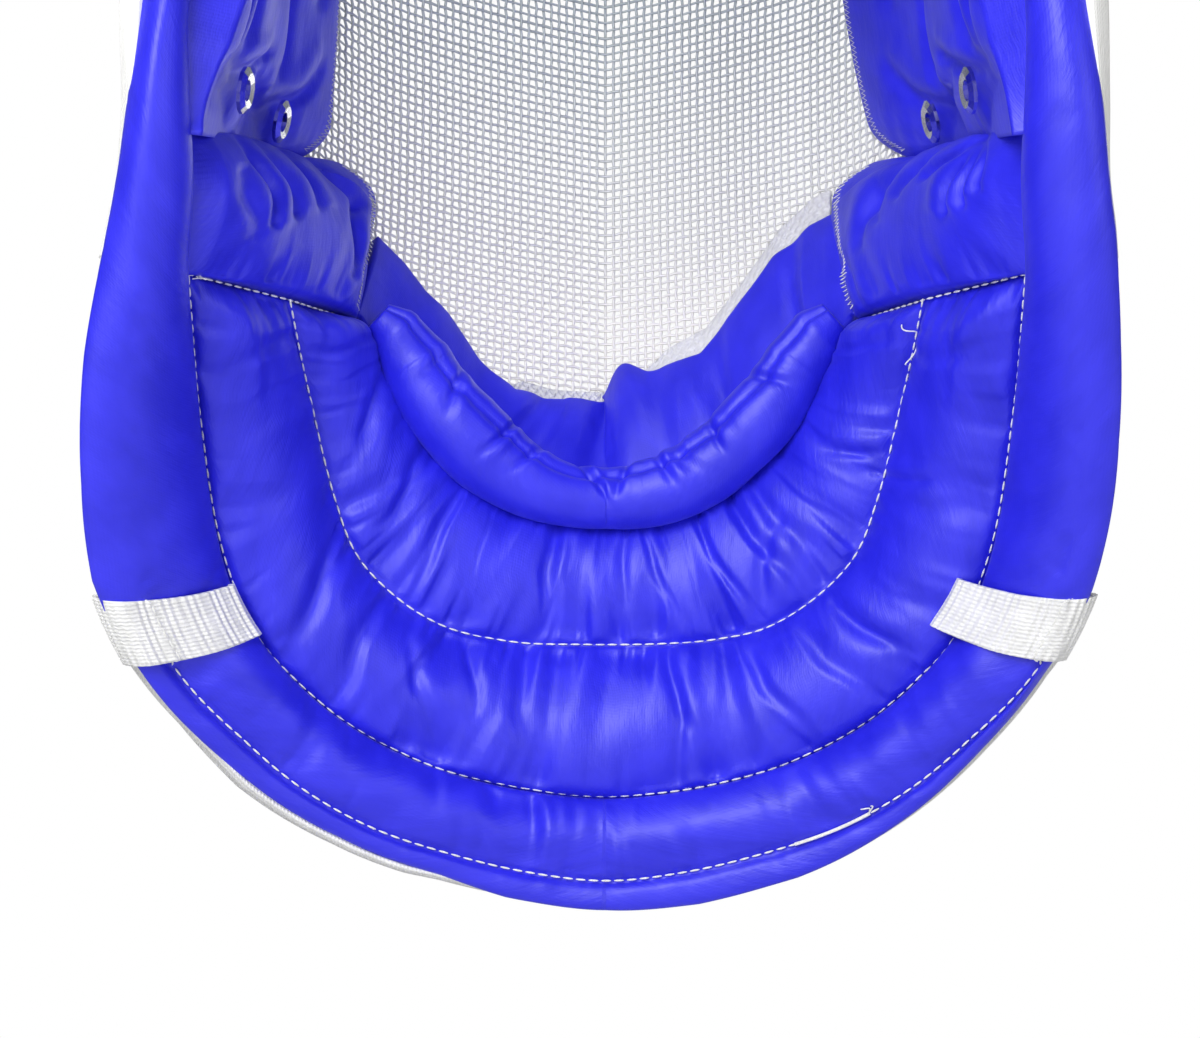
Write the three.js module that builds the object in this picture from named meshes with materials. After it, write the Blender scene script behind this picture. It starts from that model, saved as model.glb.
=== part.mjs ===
import * as THREE from 'three';

// Fencing mask, millimetres. The wearer faces +y with the crown up and +x on the wearer's right.
// The model is laid out from nose level, then lowered so that the origin is the seat on the head.

const seatHeight = 148;

// Wire cage
const cageHalfWidth = 115;
const faceDepth = 133;
const crownRise = 165;
const rimBack = 62;
const chinDrop = 82;
const cageWall = 1.2;
const ridgeSlope = THREE.MathUtils.degToRad(22);
const cheekSlope = THREE.MathUtils.degToRad(35);
const ridgeFaceShare = 0.59;

// Bib
const bibHalfWidth = 151;
const throatDepth = 92;
const bibDrop = 262;
const shellWall = 2;
const liningSeam = 2.2;
const liningPuff = 6;
const shellOffset = 3.4;
const tapeWall = 2;
const tapeWidth = 8;

// Soft pieces
const padSeam = 2;
const padPuff = 11;
const foreheadPuff = 9;
const chinRollRadius = 10;
const chinLiningWall = 2.4;
const chinLobe = 2;
const edgeTapeWall = 1.4;
const edgeTapeWidth = 9;
const bindingWall = 2;
const bindingWidth = 11;
const rollMargin = 9;
const rollSide = 12;
const rollTop = 7;

// Small parts
const snapRadius = 7;
const snapHole = 3.2;
const snapHeight = 2.2;
const webbingWidth = 21;
const webbingWall = 1.3;
const tabLean = 0.5;
const tongueWidth = 30;
const tongueWall = 4;
const tongueDrop = 135;
const tongueReach = 52;

const fit = 0.5;
const seamGap = 0.8;
const padFit = 1;
const foreheadFit = 1.8;
const tongueFit = 5.2;
const snapFit = 0.7;
const chinRollFit = 1.6;
const rimFit = 1.5;

// Ridge of the cage from below the chin to the rear of the crown.
// Columns: forward as a share of faceDepth, height and height of the row's rear end as shares of
// crownRise.
const ridgeRows = [
  [0.83, -0.6, -0.6],
  [0.93, -0.36, -0.36],
  [0.985, -0.17, -0.17],
  [1, 0.02, -0.01],
  [0.91, 0.4, 0.09],
  [0.69, 0.715, 0.155],
  [0.34, 0.94, 0.2],
  [0, 1, 0.225],
  [-0.3, 0.91, 0.242],
];

// Lower edge of the cage. Columns: sideways as a share of cageHalfWidth, drop as a share of chinDrop.
const cageEdgeRows = [
  [0, 1],
  [0.17, 0.976],
  [0.33, 0.88],
  [0.43, 0.7],
  [0.55, 0.46],
  [0.65, 0.35],
  [0.83, 0.29],
  [1, 0.25],
];

// Seams of the bib from the middle round to the horizontal seam under the cheek.
// Columns: sideways as a share of bibHalfWidth, forward of throatDepth, down of bibDrop.
const neckRows = [
  [0, 1, 0.497],
  [0.146, 0.978, 0.485],
  [0.285, 0.935, 0.447],
  [0.404, 0.848, 0.393],
  [0.49, 0.761, 0.334],
  [0.556, 0.609, 0.275],
];
const innerSeamRows = [
  [0, 1, 0.668],
  [0.232, 0.967, 0.664],
  [0.364, 0.902, 0.649],
  [0.47, 0.815, 0.615],
  [0.55, 0.728, 0.569],
  [0.596, 0.63, 0.504],
  [0.642, 0.435, 0.393],
  [0.662, 0.109, 0.309],
];
const outerSeamRows = [
  [0, 0.978, 0.863],
  [0.298, 0.935, 0.84],
  [0.444, 0.859, 0.813],
  [0.57, 0.761, 0.775],
  [0.669, 0.652, 0.729],
  [0.735, 0.543, 0.687],
  [0.801, 0.37, 0.592],
  [0.828, 0.109, 0.458],
  [0.815, -0.304, 0.332],
];
const hemRows = [
  [0, 0.978, 1],
  [0.272, 0.935, 0.977],
  [0.583, 0.772, 0.92],
  [0.801, 0.522, 0.828],
  [0.927, 0.283, 0.74],
  [0.987, 0.054, 0.649],
  [1, -0.217, 0.542],
  [0.987, -0.391, 0.458],
  [0.96, -0.543, 0.37],
];

// The rolled rim between the horizontal seam and the cage's rear edge.
// Columns as above for its inner crease, then for its outer side.
const rollRiseRows = [
  [0.778, -0.54, 0.252, 0.927, -0.674, 0.286],
  [0.775, -0.68, 0.172, 0.901, -0.79, 0.198],
  [0.782, -0.73, 0.076, 0.868, -0.86, 0.095],
];

// Heights of the upper rim roll's stations: share of the way along the cage's rear edge.
const rimSideRows = [0.45, 0.75];
const rimTopRows = [0.84, 0.68, 0.5, 0.3, 0];

// Thickness of the chin roll along its half: share of its radius.
const chinRollRows = [
  [0, 0.95],
  [0.3, 1],
  [0.55, 1.08],
  [0.8, 0.85],
  [1, 0.45],
];

function readTable(rows, at) {
  const last = rows.length - 1;
  const next = rows.findIndex((row) => row[0] >= at);
  if (next === 0) return rows[0][1];
  if (next < 0) return rows[last][1];
  const [low, high] = [rows[next - 1], rows[next]];
  return THREE.MathUtils.mapLinear(at, low[0], high[0], low[1], high[1]);
}

// A closed body between two grids of points, with its faces turned outwards.
function solidFromRings(rings, closed) {
  const count = rings[0].length;
  const positions = rings.flat().flatMap((point) => [point.x, point.y, point.z]);
  const faces = [];
  const spans = closed ? rings.length : rings.length - 1;
  for (let i = 0; i < spans; i++) {
    const here = i * count;
    const there = ((i + 1) % rings.length) * count;
    for (let j = 0; j < count; j++) {
      const k = (j + 1) % count;
      faces.push(here + j, there + j, there + k, here + j, there + k, here + k);
    }
  }
  if (!closed) {
    const end = (rings.length - 1) * count;
    for (let low = 0, high = count - 1; high - low > 1; ) {
      faces.push(low, low + 1, high, end + low, end + high, end + low + 1);
      low += 1;
      if (high - low > 1) {
        faces.push(low, high - 1, high, end + low, end + high, end + high - 1);
        high -= 1;
      }
    }
  }
  return turnOutwards(positions, faces);
}

function turnOutwards(positions, faces) {
  const corner = (index) => new THREE.Vector3().fromArray(positions, 3 * index);
  let volume = 0;
  for (let i = 0; i < faces.length; i += 3) {
    const [a, b, c] = [corner(faces[i]), corner(faces[i + 1]), corner(faces[i + 2])];
    volume += a.dot(b.cross(c)) / 6;
  }
  if (volume < 0) faces.reverse();
  const geometry = new THREE.BufferGeometry();
  geometry.setAttribute('position', new THREE.Float32BufferAttribute(positions, 3));
  geometry.setIndex(faces);
  geometry.computeVertexNormals();
  return geometry;
}

// A sheet with two faces: each column is a ring that runs down the front and up the back.
function sheetSolid(columns, rows, front, back) {
  const rings = [];
  for (let i = 0; i <= columns; i++) {
    const down = [];
    const up = [];
    for (let j = 0; j <= rows; j++) {
      down.push(front(i / columns, j / rows));
      up.unshift(back(i / columns, j / rows));
    }
    rings.push([...down, ...up]);
  }
  const count = rings[0].length;
  const positions = rings.flat().flatMap((point) => [point.x, point.y, point.z]);
  const faces = [];
  for (let i = 0; i < columns; i++) {
    for (let j = 0; j < count; j++) {
      const k = (j + 1) % count;
      const [a, b] = [i * count + j, i * count + k];
      faces.push(a, a + count, b + count, a, b + count, b);
    }
  }
  for (const [start, flip] of [[0, false], [columns * count, true]]) {
    for (let j = 0; j < rows; j++) {
      const quad = [j, j + 1, count - 2 - j, count - 1 - j].map((k) => start + k);
      const order = flip ? [0, 2, 1, 0, 3, 2] : [0, 1, 2, 0, 2, 3];
      faces.push(...order.map((k) => quad[k]));
    }
  }
  return turnOutwards(positions, faces);
}

// Unit normal of a half surface on its outer side, away from a point inside the mask.
function outwardNormal(surface, u, v, inside) {
  const step = 0.004;
  const across = surface(Math.min(u + step, 1), v).sub(surface(Math.max(u - step, 0), v));
  const along = surface(u, Math.min(v + step, 1)).sub(surface(u, Math.max(v - step, 0)));
  const normal = across.cross(along);
  if (u < step) normal.x = 0;
  normal.normalize();
  const away = surface(u, v).sub(inside);
  return normal.dot(away) < 0 ? normal.negate() : normal;
}

function offsetPoint(surface, u, v, inside, distance) {
  return surface(u, v).addScaledVector(outwardNormal(surface, u, v, inside), distance);
}

function mirrored(point, side) {
  return side < 0 ? point.setX(-point.x) : point;
}

// Cage surface: half sections of two arcs and a straight, one for each point of the ridge.
const ridge = new THREE.CatmullRomCurve3(
  ridgeRows.map(([y, z, side]) => new THREE.Vector3(side * crownRise, y * faceDepth, z * crownRise)),
  false,
  'centripetal',
);
const faceWidth = ridgeFaceShare * cageHalfWidth;
const faceRadius = faceWidth / (Math.sin(cheekSlope) - Math.sin(ridgeSlope));
const cheekRadius = (cageHalfWidth - faceWidth) / (1 - Math.sin(cheekSlope));
const faceArc = faceRadius * (cheekSlope - ridgeSlope);
const cheekArc = cheekRadius * (Math.PI / 2 - cheekSlope);
const faceFall = faceRadius * (Math.cos(ridgeSlope) - Math.cos(cheekSlope));
const curvedDepth = faceFall + cheekRadius * Math.cos(cheekSlope);

function sectionAt(length) {
  if (length < faceArc) {
    const slope = ridgeSlope + length / faceRadius;
    const width = faceRadius * (Math.sin(slope) - Math.sin(ridgeSlope));
    return [width, faceRadius * (Math.cos(ridgeSlope) - Math.cos(slope))];
  }
  if (length < faceArc + cheekArc) {
    const slope = cheekSlope + (length - faceArc) / cheekRadius;
    const width = faceWidth + cheekRadius * (Math.sin(slope) - Math.sin(cheekSlope));
    return [width, faceFall + cheekRadius * (Math.cos(cheekSlope) - Math.cos(slope))];
  }
  return [cageHalfWidth, curvedDepth + length - faceArc - cheekArc];
}

function cageHalf(across, row) {
  const foot = ridge.getPoint(row);
  const start = new THREE.Vector3(0, foot.y, foot.z);
  const back = new THREE.Vector3(0, -rimBack, foot.x).sub(start);
  const depth = back.length();
  const straight = Math.max(0, depth - curvedDepth);
  const [width, fall] = sectionAt(across * (faceArc + cheekArc + straight));
  const squash = Math.min(1, depth / curvedDepth);
  return start.addScaledVector(back.normalize(), fall * squash).setX(width);
}

const headCentre = new THREE.Vector3(0, -20, 0);
const throatCentre = new THREE.Vector3(0, -60, -120);

function cageOffset(across, row, distance) {
  const point = offsetPoint(cageHalf, Math.abs(across), row, headCentre, distance);
  return mirrored(point, across);
}

// Row at which the cage reaches a height, and the row of its lower edge.
function rowAtHeight(across, height) {
  let low = 0;
  let high = 0.6;
  for (let i = 0; i < 24; i++) {
    const middle = (low + high) / 2;
    if (cageHalf(across, middle).z < height) low = middle;
    else high = middle;
  }
  return low;
}

function edgeHeight(across) {
  const share = cageHalf(across, 0.3).x / cageHalfWidth;
  return -chinDrop * readTable(cageEdgeRows, share);
}

function edgeRow(across) {
  return rowAtHeight(Math.abs(across), edgeHeight(Math.abs(across)));
}

// Bib rails: smooth curves through the mirrored table rows, read from the middle outwards.
function bibPoint([x, y, z]) {
  return new THREE.Vector3(x * bibHalfWidth, y * throatDepth, -z * bibDrop);
}

function railFrom(rows) {
  const half = rows.map(bibPoint);
  const other = half.slice(1).reverse().map((point) => mirrored(point.clone(), -1));
  const curve = new THREE.CatmullRomCurve3([...other, ...half], false, 'centripetal');
  return (share) => curve.getPointAt(0.5 + 0.5 * share);
}

const neckRail = railFrom(neckRows);
const innerSeam = railFrom(innerSeamRows);
const outerSeam = railFrom(outerSeamRows);
const hem = railFrom(hemRows);
const innerSeamAt = 0.4;
const outerSeamAt = 0.75;

function bibHalf(along, down) {
  if (down < innerSeamAt) return neckRail(along).lerp(innerSeam(along), down / innerSeamAt);
  if (down < outerSeamAt) {
    const share = (down - innerSeamAt) / (outerSeamAt - innerSeamAt);
    return innerSeam(along).lerp(outerSeam(along), share);
  }
  return outerSeam(along).lerp(hem(along), (down - outerSeamAt) / (1 - outerSeamAt));
}

function bibOffset(along, down, distance) {
  const point = offsetPoint(bibHalf, Math.abs(along), down, throatCentre, distance);
  return mirrored(point, along);
}

// Jaw surface: from the cage's lower edge to the neck rail and on along the horizontal seam.
const throatShare = 0.6;
const jawFrontAcross = 0.37;
const jawRearAcross = 0.95;

function jawAcross(along) {
  if (along < throatShare) return jawFrontAcross * (along / throatShare);
  const share = (along - throatShare) / (1 - throatShare);
  return THREE.MathUtils.lerp(jawFrontAcross, jawRearAcross, share);
}

function jawFoot(along) {
  if (along < throatShare) return neckRail(along / throatShare);
  const share = (2 * (along - throatShare)) / (1 - throatShare);
  if (share < 1) return neckRail(1).lerp(innerSeam(1), share);
  return innerSeam(1).lerp(outerSeam(1), share - 1);
}

function jawHalf(along, down) {
  const across = jawAcross(along);
  return cageHalf(across, edgeRow(across)).lerp(jawFoot(along), down);
}

function jawOffset(along, down, distance) {
  const point = offsetPoint(jawHalf, Math.abs(along), down, throatCentre, distance);
  return mirrored(point, along);
}

function bump(share) {
  return Math.sqrt(Math.max(0, Math.sin(Math.PI * THREE.MathUtils.clamp(share, 0, 1))));
}

function meshCage() {
  const place = (u, v, distance) => {
    const across = 2 * u - 1;
    return cageOffset(across, THREE.MathUtils.lerp(edgeRow(across), 1, v), distance);
  };
  return sheetSolid(32, 15, (u, v) => place(u, v, 0), (u, v) => place(u, v, cageWall));
}

function bibShell() {
  const place = (u, v, distance) => bibOffset((2 * u - 1) * 0.985, v, distance);
  const outer = shellOffset + shellWall;
  return sheetSolid(32, 6, (u, v) => place(u, v, shellOffset), (u, v) => place(u, v, outer));
}

function jawShell() {
  const place = (u, v, distance) => {
    const down = THREE.MathUtils.lerp(0.02, 0.95, v);
    return jawOffset((2 * u - 1) * 0.97, down, distance);
  };
  const inner = (v) => THREE.MathUtils.lerp(padFit, shellOffset, v);
  const outer = (v) => inner(v) + shellWall;
  return sheetSolid(36, 3, (u, v) => place(u, v, inner(v)), (u, v) => place(u, v, outer(v)));
}

// Quilted lining: two sewn channels, thin at the seams and full between them.
function bibLining() {
  const last = outerSeamAt - 0.03;
  const puff = (down) => {
    const inner = down / innerSeamAt;
    const outer = (down - innerSeamAt) / (last - innerSeamAt);
    return down < innerSeamAt ? bump(inner) : bump(outer);
  };
  const place = (u, v, thick) => {
    const down = v * last;
    const distance = thick ? -liningSeam - liningPuff * puff(down) : shellOffset - fit;
    return bibOffset((2 * u - 1) * 0.98, down, distance);
  };
  return sheetSolid(34, 9, (u, v) => place(u, v, false), (u, v) => place(u, v, true));
}

// Rim roll: a loop of flattened rings between its inner crease and its outer side.
function rollStations() {
  const half = [];
  const lower = 11;
  for (let i = 0; i <= lower; i++) {
    const along = i / lower;
    const inward = THREE.MathUtils.lerp(rollMargin, rollSide, along * along);
    half.push([outerSeam(along), hem(along), inward, shellOffset - fit]);
  }
  for (const row of rollRiseRows) {
    half.push([bibPoint(row.slice(0, 3)), bibPoint(row.slice(3)), rollTop + 2, rollTop]);
  }
  const rimAt = (across, row) => {
    const edge = cageOffset(across, row, 0);
    const inner = edge.clone().setY(edge.y - rimFit);
    const outer = cageOffset(across, row, 2 * rollTop);
    outer.setY(edge.y - fit - 2 * rollTop);
    return [inner, outer, rollTop, rollTop];
  };
  for (const row of rimSideRows) half.push(rimAt(1, row));
  for (const across of rimTopRows) half.push(rimAt(across, 1));
  return half;
}

function wholeLoop(values) {
  const other = values.slice(1, -1).reverse().map((point) => mirrored(point.clone(), -1));
  return new THREE.CatmullRomCurve3([...values, ...other], true, 'centripetal');
}

const stations = rollStations();
const rollInner = stations.map((station) => station[0]);
const rollOuter = stations.map((station) => station[1]);
const loopCount = 2 * (stations.length - 1);
const innerLoop = wholeLoop(rollInner);
const outerLoop = wholeLoop(rollOuter);

// Frame of the roll at a station number, which may be a fraction: its centre, half width
// outwards, and unit depth towards the wearer, with the roll's depths each way.
function rollFrame(at) {
  const share = (((at / loopCount) % 1) + 1) % 1;
  const near = (shift) => (((share + shift) % 1) + 1) % 1;
  const middle = (t) => innerLoop.getPoint(t).lerp(outerLoop.getPoint(t), 0.5);
  const centre = middle(share);
  const outward = outerLoop.getPoint(share).sub(centre);
  const tangent = middle(near(0.002)).sub(middle(near(-0.002))).normalize();
  const depth = outward.clone().cross(tangent).normalize();
  const mirroredAt = Math.abs(share > 0.5 ? 1 - share : share) * loopCount;
  const low = Math.min(Math.floor(mirroredAt), stations.length - 2);
  const mix = mirroredAt - low;
  const inward = THREE.MathUtils.lerp(stations[low][2], stations[low + 1][2], mix);
  const behind = THREE.MathUtils.lerp(stations[low][3], stations[low + 1][3], mix);
  return { centre, outward, tangent, depth, inward, behind };
}

function rollPoint(frame, sideways, deep) {
  const unit = frame.outward.clone().normalize();
  return frame.centre.clone().addScaledVector(unit, sideways).addScaledVector(frame.depth, deep);
}

function rimRoll() {
  const rings = [];
  const count = 60;
  const sides = 10;
  for (let i = 0; i < count; i++) {
    const frame = rollFrame((i / count) * loopCount);
    const half = frame.outward.length() - seamGap;
    const ring = [];
    for (let k = 0; k < sides; k++) {
      const angle = (2 * Math.PI * k) / sides;
      const deep = Math.sin(angle) > 0 ? frame.inward : frame.behind;
      ring.push(rollPoint(frame, half * Math.cos(angle), deep * Math.sin(angle)));
    }
    rings.push(ring);
  }
  return solidFromRings(rings, true);
}

// A flat band that follows the roll's outer side between two station numbers.
function outerBand(first, last, count, closed, gap, wall, front, behind) {
  const rings = [];
  for (let i = 0; i <= (closed ? count - 1 : count); i++) {
    const frame = rollFrame(THREE.MathUtils.lerp(first, last, i / count));
    const low = frame.outward.length() + gap;
    rings.push([
      rollPoint(frame, low, front),
      rollPoint(frame, low + wall, front),
      rollPoint(frame, low + wall, -behind),
      rollPoint(frame, low, -behind),
    ]);
  }
  return solidFromRings(rings, closed);
}

const seamStation = 11;

function bibEdgeTape() {
  const behind = tapeWidth - 1;
  return outerBand(-seamStation, seamStation, 40, false, fit, tapeWall, 1, behind);
}

function rimBinding() {
  const front = bindingWidth / 2;
  const first = seamStation + 0.3;
  return outerBand(first, loopCount - first, 36, false, fit, bindingWall, front, front);
}

// Side pads. The temple pad lies on the cage down to a slanting fold, the cheek pad below it.
const padFrontAcross = 0.465;
const padRearAcross = 0.975;
const padTopRow = 0.68;
const foldFront = -4;
const foldRear = -51;

function foldHeight(across) {
  const share = (across - jawFrontAcross) / (padRearAcross - jawFrontAcross);
  return THREE.MathUtils.lerp(foldFront, foldRear, share);
}

function templeHalf(along, down) {
  const across = THREE.MathUtils.lerp(padFrontAcross, padRearAcross, along);
  const fold = rowAtHeight(across, foldHeight(across) + seamGap);
  return cageHalf(across, THREE.MathUtils.lerp(padTopRow, fold, down));
}

function cheekHalf(along, down) {
  const jaw = THREE.MathUtils.lerp(throatShare, 0.975, along);
  const across = jawAcross(jaw);
  const foot = jawFoot(jaw);
  const edge = edgeHeight(across);
  const top = foldHeight(across) - seamGap;
  const height = THREE.MathUtils.lerp(top, foot.z + 2 * seamGap, down);
  if (height > edge) return cageHalf(across, rowAtHeight(across, height));
  return jawHalf(jaw, (edge - height) / (edge - foot.z));
}

function padFront(surface, u, v) {
  const thick = padSeam + padPuff * bump(0.02 + 0.96 * v) * bump(0.12 + 0.8 * u);
  return offsetPoint(surface, u, v, headCentre, -padFit - thick);
}

function sidePad(surface, side, columns, rows) {
  const back = (u, v) => mirrored(offsetPoint(surface, u, v, headCentre, -padFit), side);
  const front = (u, v) => mirrored(padFront(surface, u, v), side);
  return sheetSolid(columns, rows, back, front);
}

function foreheadPad() {
  const reach = 0.34;
  const place = (u, v, distance) => {
    return cageOffset((2 * u - 1) * reach, THREE.MathUtils.lerp(0.66, 0.93, v), distance);
  };
  const front = (u, v) => place(u, v, -foreheadFit - padSeam - foreheadPuff * bump(u) * bump(v));
  return sheetSolid(12, 6, (u, v) => place(u, v, -foreheadFit), front);
}

// Chin roll: nestles in the corner between the jaw surface and the bib, along the neck rail.
function chinRoll() {
  const rings = [];
  const count = 24;
  const sides = 10;
  const reach = 0.97;
  const centreAt = (share) => {
    const along = Math.abs(share);
    const radius = chinRollRadius * readTable(chinRollRows, along);
    const bibSide = outwardNormal(bibHalf, along, 0.02, throatCentre);
    const jawSide = outwardNormal(jawHalf, along * throatShare, 0.96, throatCentre);
    const lean = bibSide.add(jawSide);
    const spread = lean.length() / 2;
    const clear = radius + liningSeam + chinRollFit;
    const centre = neckRail(along).addScaledVector(lean.normalize(), -clear / spread);
    return { centre: mirrored(centre, share), radius };
  };
  for (let i = 0; i <= count; i++) {
    const share = reach * ((2 * i) / count - 1);
    const { centre, radius } = centreAt(share);
    const ahead = centreAt(Math.min(reach, share + 0.02)).centre;
    const tangent = ahead.sub(centreAt(Math.max(-reach, share - 0.02)).centre).normalize();
    const up = new THREE.Vector3(0, 1, 0).cross(tangent).normalize();
    const side = tangent.clone().cross(up);
    const ring = [];
    for (let k = 0; k < sides; k++) {
      const angle = (2 * Math.PI * k) / sides;
      const point = centre.clone().addScaledVector(up, radius * Math.cos(angle));
      ring.push(point.addScaledVector(side, radius * Math.sin(angle)));
    }
    rings.push(ring);
  }
  return solidFromRings(rings, false);
}

// Lining under the chin, gathered into lobes.
function chinLining() {
  const lobes = 9;
  const reach = throatShare * 0.95;
  const place = (u, v, thick) => {
    const along = (2 * u - 1) * reach;
    const lobe = chinLobe * Math.abs(Math.sin(Math.PI * lobes * u)) * bump(v);
    const distance = thick ? -fit - chinLiningWall - lobe : -fit;
    return jawOffset(along, THREE.MathUtils.lerp(0.04, 0.9, v), distance);
  };
  return sheetSolid(36, 4, (u, v) => place(u, v, false), (u, v) => place(u, v, true));
}

function meshEdgeTape() {
  const reach = 0.345;
  const place = (u, v, distance) => {
    const across = (2 * u - 1) * reach;
    const low = edgeRow(across);
    const height = edgeHeight(Math.abs(across)) + edgeTapeWidth;
    const row = THREE.MathUtils.lerp(low, rowAtHeight(Math.abs(across), height), v);
    return cageOffset(across, row, distance);
  };
  const outer = -fit - edgeTapeWall;
  return sheetSolid(28, 1, (u, v) => place(u, v, -fit), (u, v) => place(u, v, outer));
}

// Ring snap: a flat washer turned about its axis.
function snapGeometry() {
  const profile = [
    [snapHole, 0],
    [snapRadius, 0],
    [snapRadius, 0.5 * snapHeight],
    [0.75 * snapRadius, snapHeight],
    [snapHole, 0.7 * snapHeight],
    [snapHole, 0],
  ].map(([x, y]) => new THREE.Vector2(x, y));
  return new THREE.LatheGeometry(profile, 14);
}

// Places of the snaps by the fold, on the temple pad: shares of its length and height.
const snapRows = [
  ['front', 0.42, 0.91],
  ['rear', 0.85, 0.91],
];

function placeSnap(mesh, along, down, side) {
  const surface = (u, v) => padFront(templeHalf, u, v);
  const normal = outwardNormal(surface, along, down, headCentre);
  const point = surface(along, down).addScaledVector(normal, -snapFit);
  normal.negate();
  mesh.position.copy(mirrored(point, side));
  mesh.quaternion.setFromUnitVectors(new THREE.Vector3(0, 1, 0), mirrored(normal, side));
}

// Webbing tab: a strap folded over the bib's margin, from just inside the outer seam round to
// the back of the shell.
function webbingTab(side) {
  const tabStation = 6.55;
  const columns = 3;
  const frameAt = (share, sideways) => {
    const frame = rollFrame(tabStation);
    const shift = (share - 0.5) * webbingWidth + tabLean * sideways;
    const length = rollFrame(tabStation + 0.5).centre.distanceTo(frame.centre) * 2;
    return rollFrame(tabStation + shift / length);
  };
  const route = (frame) => {
    const half = frame.outward.length();
    const beyond = half + 2 * fit + tapeWall + seamGap;
    const back = shellOffset + shellWall + seamGap;
    return [
      [-half - 2, frame.inward],
      [-0.6 * half, frame.inward + 0.5],
      [0, frame.inward + seamGap],
      [0.6 * half, frame.inward + 0.3],
      [beyond, 2.5],
      [beyond, -tapeWidth - 0.5],
      [half - 10, -back - 4],
    ];
  };
  const rings = [];
  for (let i = 0; i <= columns; i++) {
    const share = i / columns;
    const path = route(frameAt(share, 0));
    const inner = path.map(([w, d]) => rollPoint(frameAt(share, w), w, d));
    const outer = path.map(([w, d], k) => {
      const before = path[Math.max(0, k - 1)];
      const after = path[Math.min(path.length - 1, k + 1)];
      const run = new THREE.Vector2(after[0] - before[0], after[1] - before[1]).normalize();
      return rollPoint(frameAt(share, w), w - run.y * webbingWall, d + run.x * webbingWall);
    });
    rings.push([...inner, ...outer.reverse()].map((point) => mirrored(point, side)));
  }
  const point = (i, j) => rings[Math.round(i * columns)][j];
  const rows = rings[0].length / 2 - 1;
  const front = (u, v) => point(u, Math.round(v * rows));
  const back = (u, v) => point(u, 2 * rows + 1 - Math.round(v * rows));
  return sheetSolid(columns, rows, front, back);
}

// Back tongue: a plain sprung strip that comes down behind the head.
function backTongue() {
  const top = rollFrame(stations.length - 1);
  const start = rollPoint(top, 0, top.inward + tongueFit);
  const place = (u, v, distance) => {
    const angle = v * 1.35;
    const y = start.y - tongueReach * Math.sin(angle) - distance * Math.sin(angle);
    const z = start.z - tongueDrop * (1 - Math.cos(angle)) * 1.25 + distance * Math.cos(angle);
    return new THREE.Vector3((u - 0.5) * tongueWidth, y, z);
  };
  return sheetSolid(2, 10, (u, v) => place(u, v, 0), (u, v) => place(u, v, tongueWall));
}

const steel = { color: 0xb4b9bb, roughness: 0.42, metalness: 0.9 };
const nylon = { color: 0x2018a8, roughness: 0.45, metalness: 0 };
const whiteCloth = { color: 0xe6e6e2, roughness: 0.85, metalness: 0 };
const snapSteel = { color: 0xb8babf, roughness: 0.3, metalness: 1 };

const mask = new THREE.Group();
mask.position.z = -seatHeight;

function addPiece(name, geometry, look) {
  const piece = new THREE.Mesh(geometry, new THREE.MeshStandardMaterial(look));
  piece.name = name;
  mask.add(piece);
  return piece;
}

addPiece('mesh_cage', meshCage(), steel);
addPiece('rim_binding', rimBinding(), whiteCloth);
addPiece('bib_shell', bibShell(), whiteCloth);
addPiece('jaw_shell', jawShell(), whiteCloth);
addPiece('bib_edge_tape', bibEdgeTape(), whiteCloth);
addPiece('bib_lining', bibLining(), nylon);
addPiece('rim_roll', rimRoll(), nylon);
addPiece('forehead_pad', foreheadPad(), nylon);
addPiece('chin_roll', chinRoll(), nylon);
addPiece('chin_lining', chinLining(), nylon);
addPiece('mesh_edge_tape', meshEdgeTape(), whiteCloth);
addPiece('back_tongue', backTongue(), nylon);
for (const [word, side] of [['left', -1], ['right', 1]]) {
  addPiece(`temple_pad_${word}`, sidePad(templeHalf, side, 9, 7), nylon);
  addPiece(`cheek_pad_${word}`, sidePad(cheekHalf, side, 9, 7), nylon);
  addPiece(`webbing_tab_${word}`, webbingTab(side), whiteCloth);
  for (const [place, along, down] of snapRows) {
    placeSnap(addPiece(`snap_${place}_${word}`, snapGeometry(), snapSteel), along, down, side);
  }
}

export default mask;
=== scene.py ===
"""Fencing mask: the looks of every piece, built round the fixed frame."""

import math

import bpy
import numpy as np
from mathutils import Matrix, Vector


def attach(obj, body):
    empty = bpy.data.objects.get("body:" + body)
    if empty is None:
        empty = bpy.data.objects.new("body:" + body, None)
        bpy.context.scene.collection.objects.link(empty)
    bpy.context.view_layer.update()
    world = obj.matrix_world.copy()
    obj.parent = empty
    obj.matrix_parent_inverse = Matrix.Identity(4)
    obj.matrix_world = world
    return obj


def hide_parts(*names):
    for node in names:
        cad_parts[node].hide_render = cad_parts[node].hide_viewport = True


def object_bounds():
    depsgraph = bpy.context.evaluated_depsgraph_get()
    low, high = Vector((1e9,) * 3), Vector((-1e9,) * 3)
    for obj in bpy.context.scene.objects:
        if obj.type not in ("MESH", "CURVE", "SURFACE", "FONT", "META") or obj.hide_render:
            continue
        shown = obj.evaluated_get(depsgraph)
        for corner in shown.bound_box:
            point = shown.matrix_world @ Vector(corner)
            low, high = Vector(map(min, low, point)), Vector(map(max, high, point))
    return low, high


bl_info = {
    "name": "Fencing mask",
    "version": (1, 0, 0),
    "blender": (4, 5, 0),
    "location": "View3D > Sidebar > Mask",
    "description": "Builds a wire fencing mask with a quilted blue bib",
    "category": "Add Mesh",
}

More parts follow.
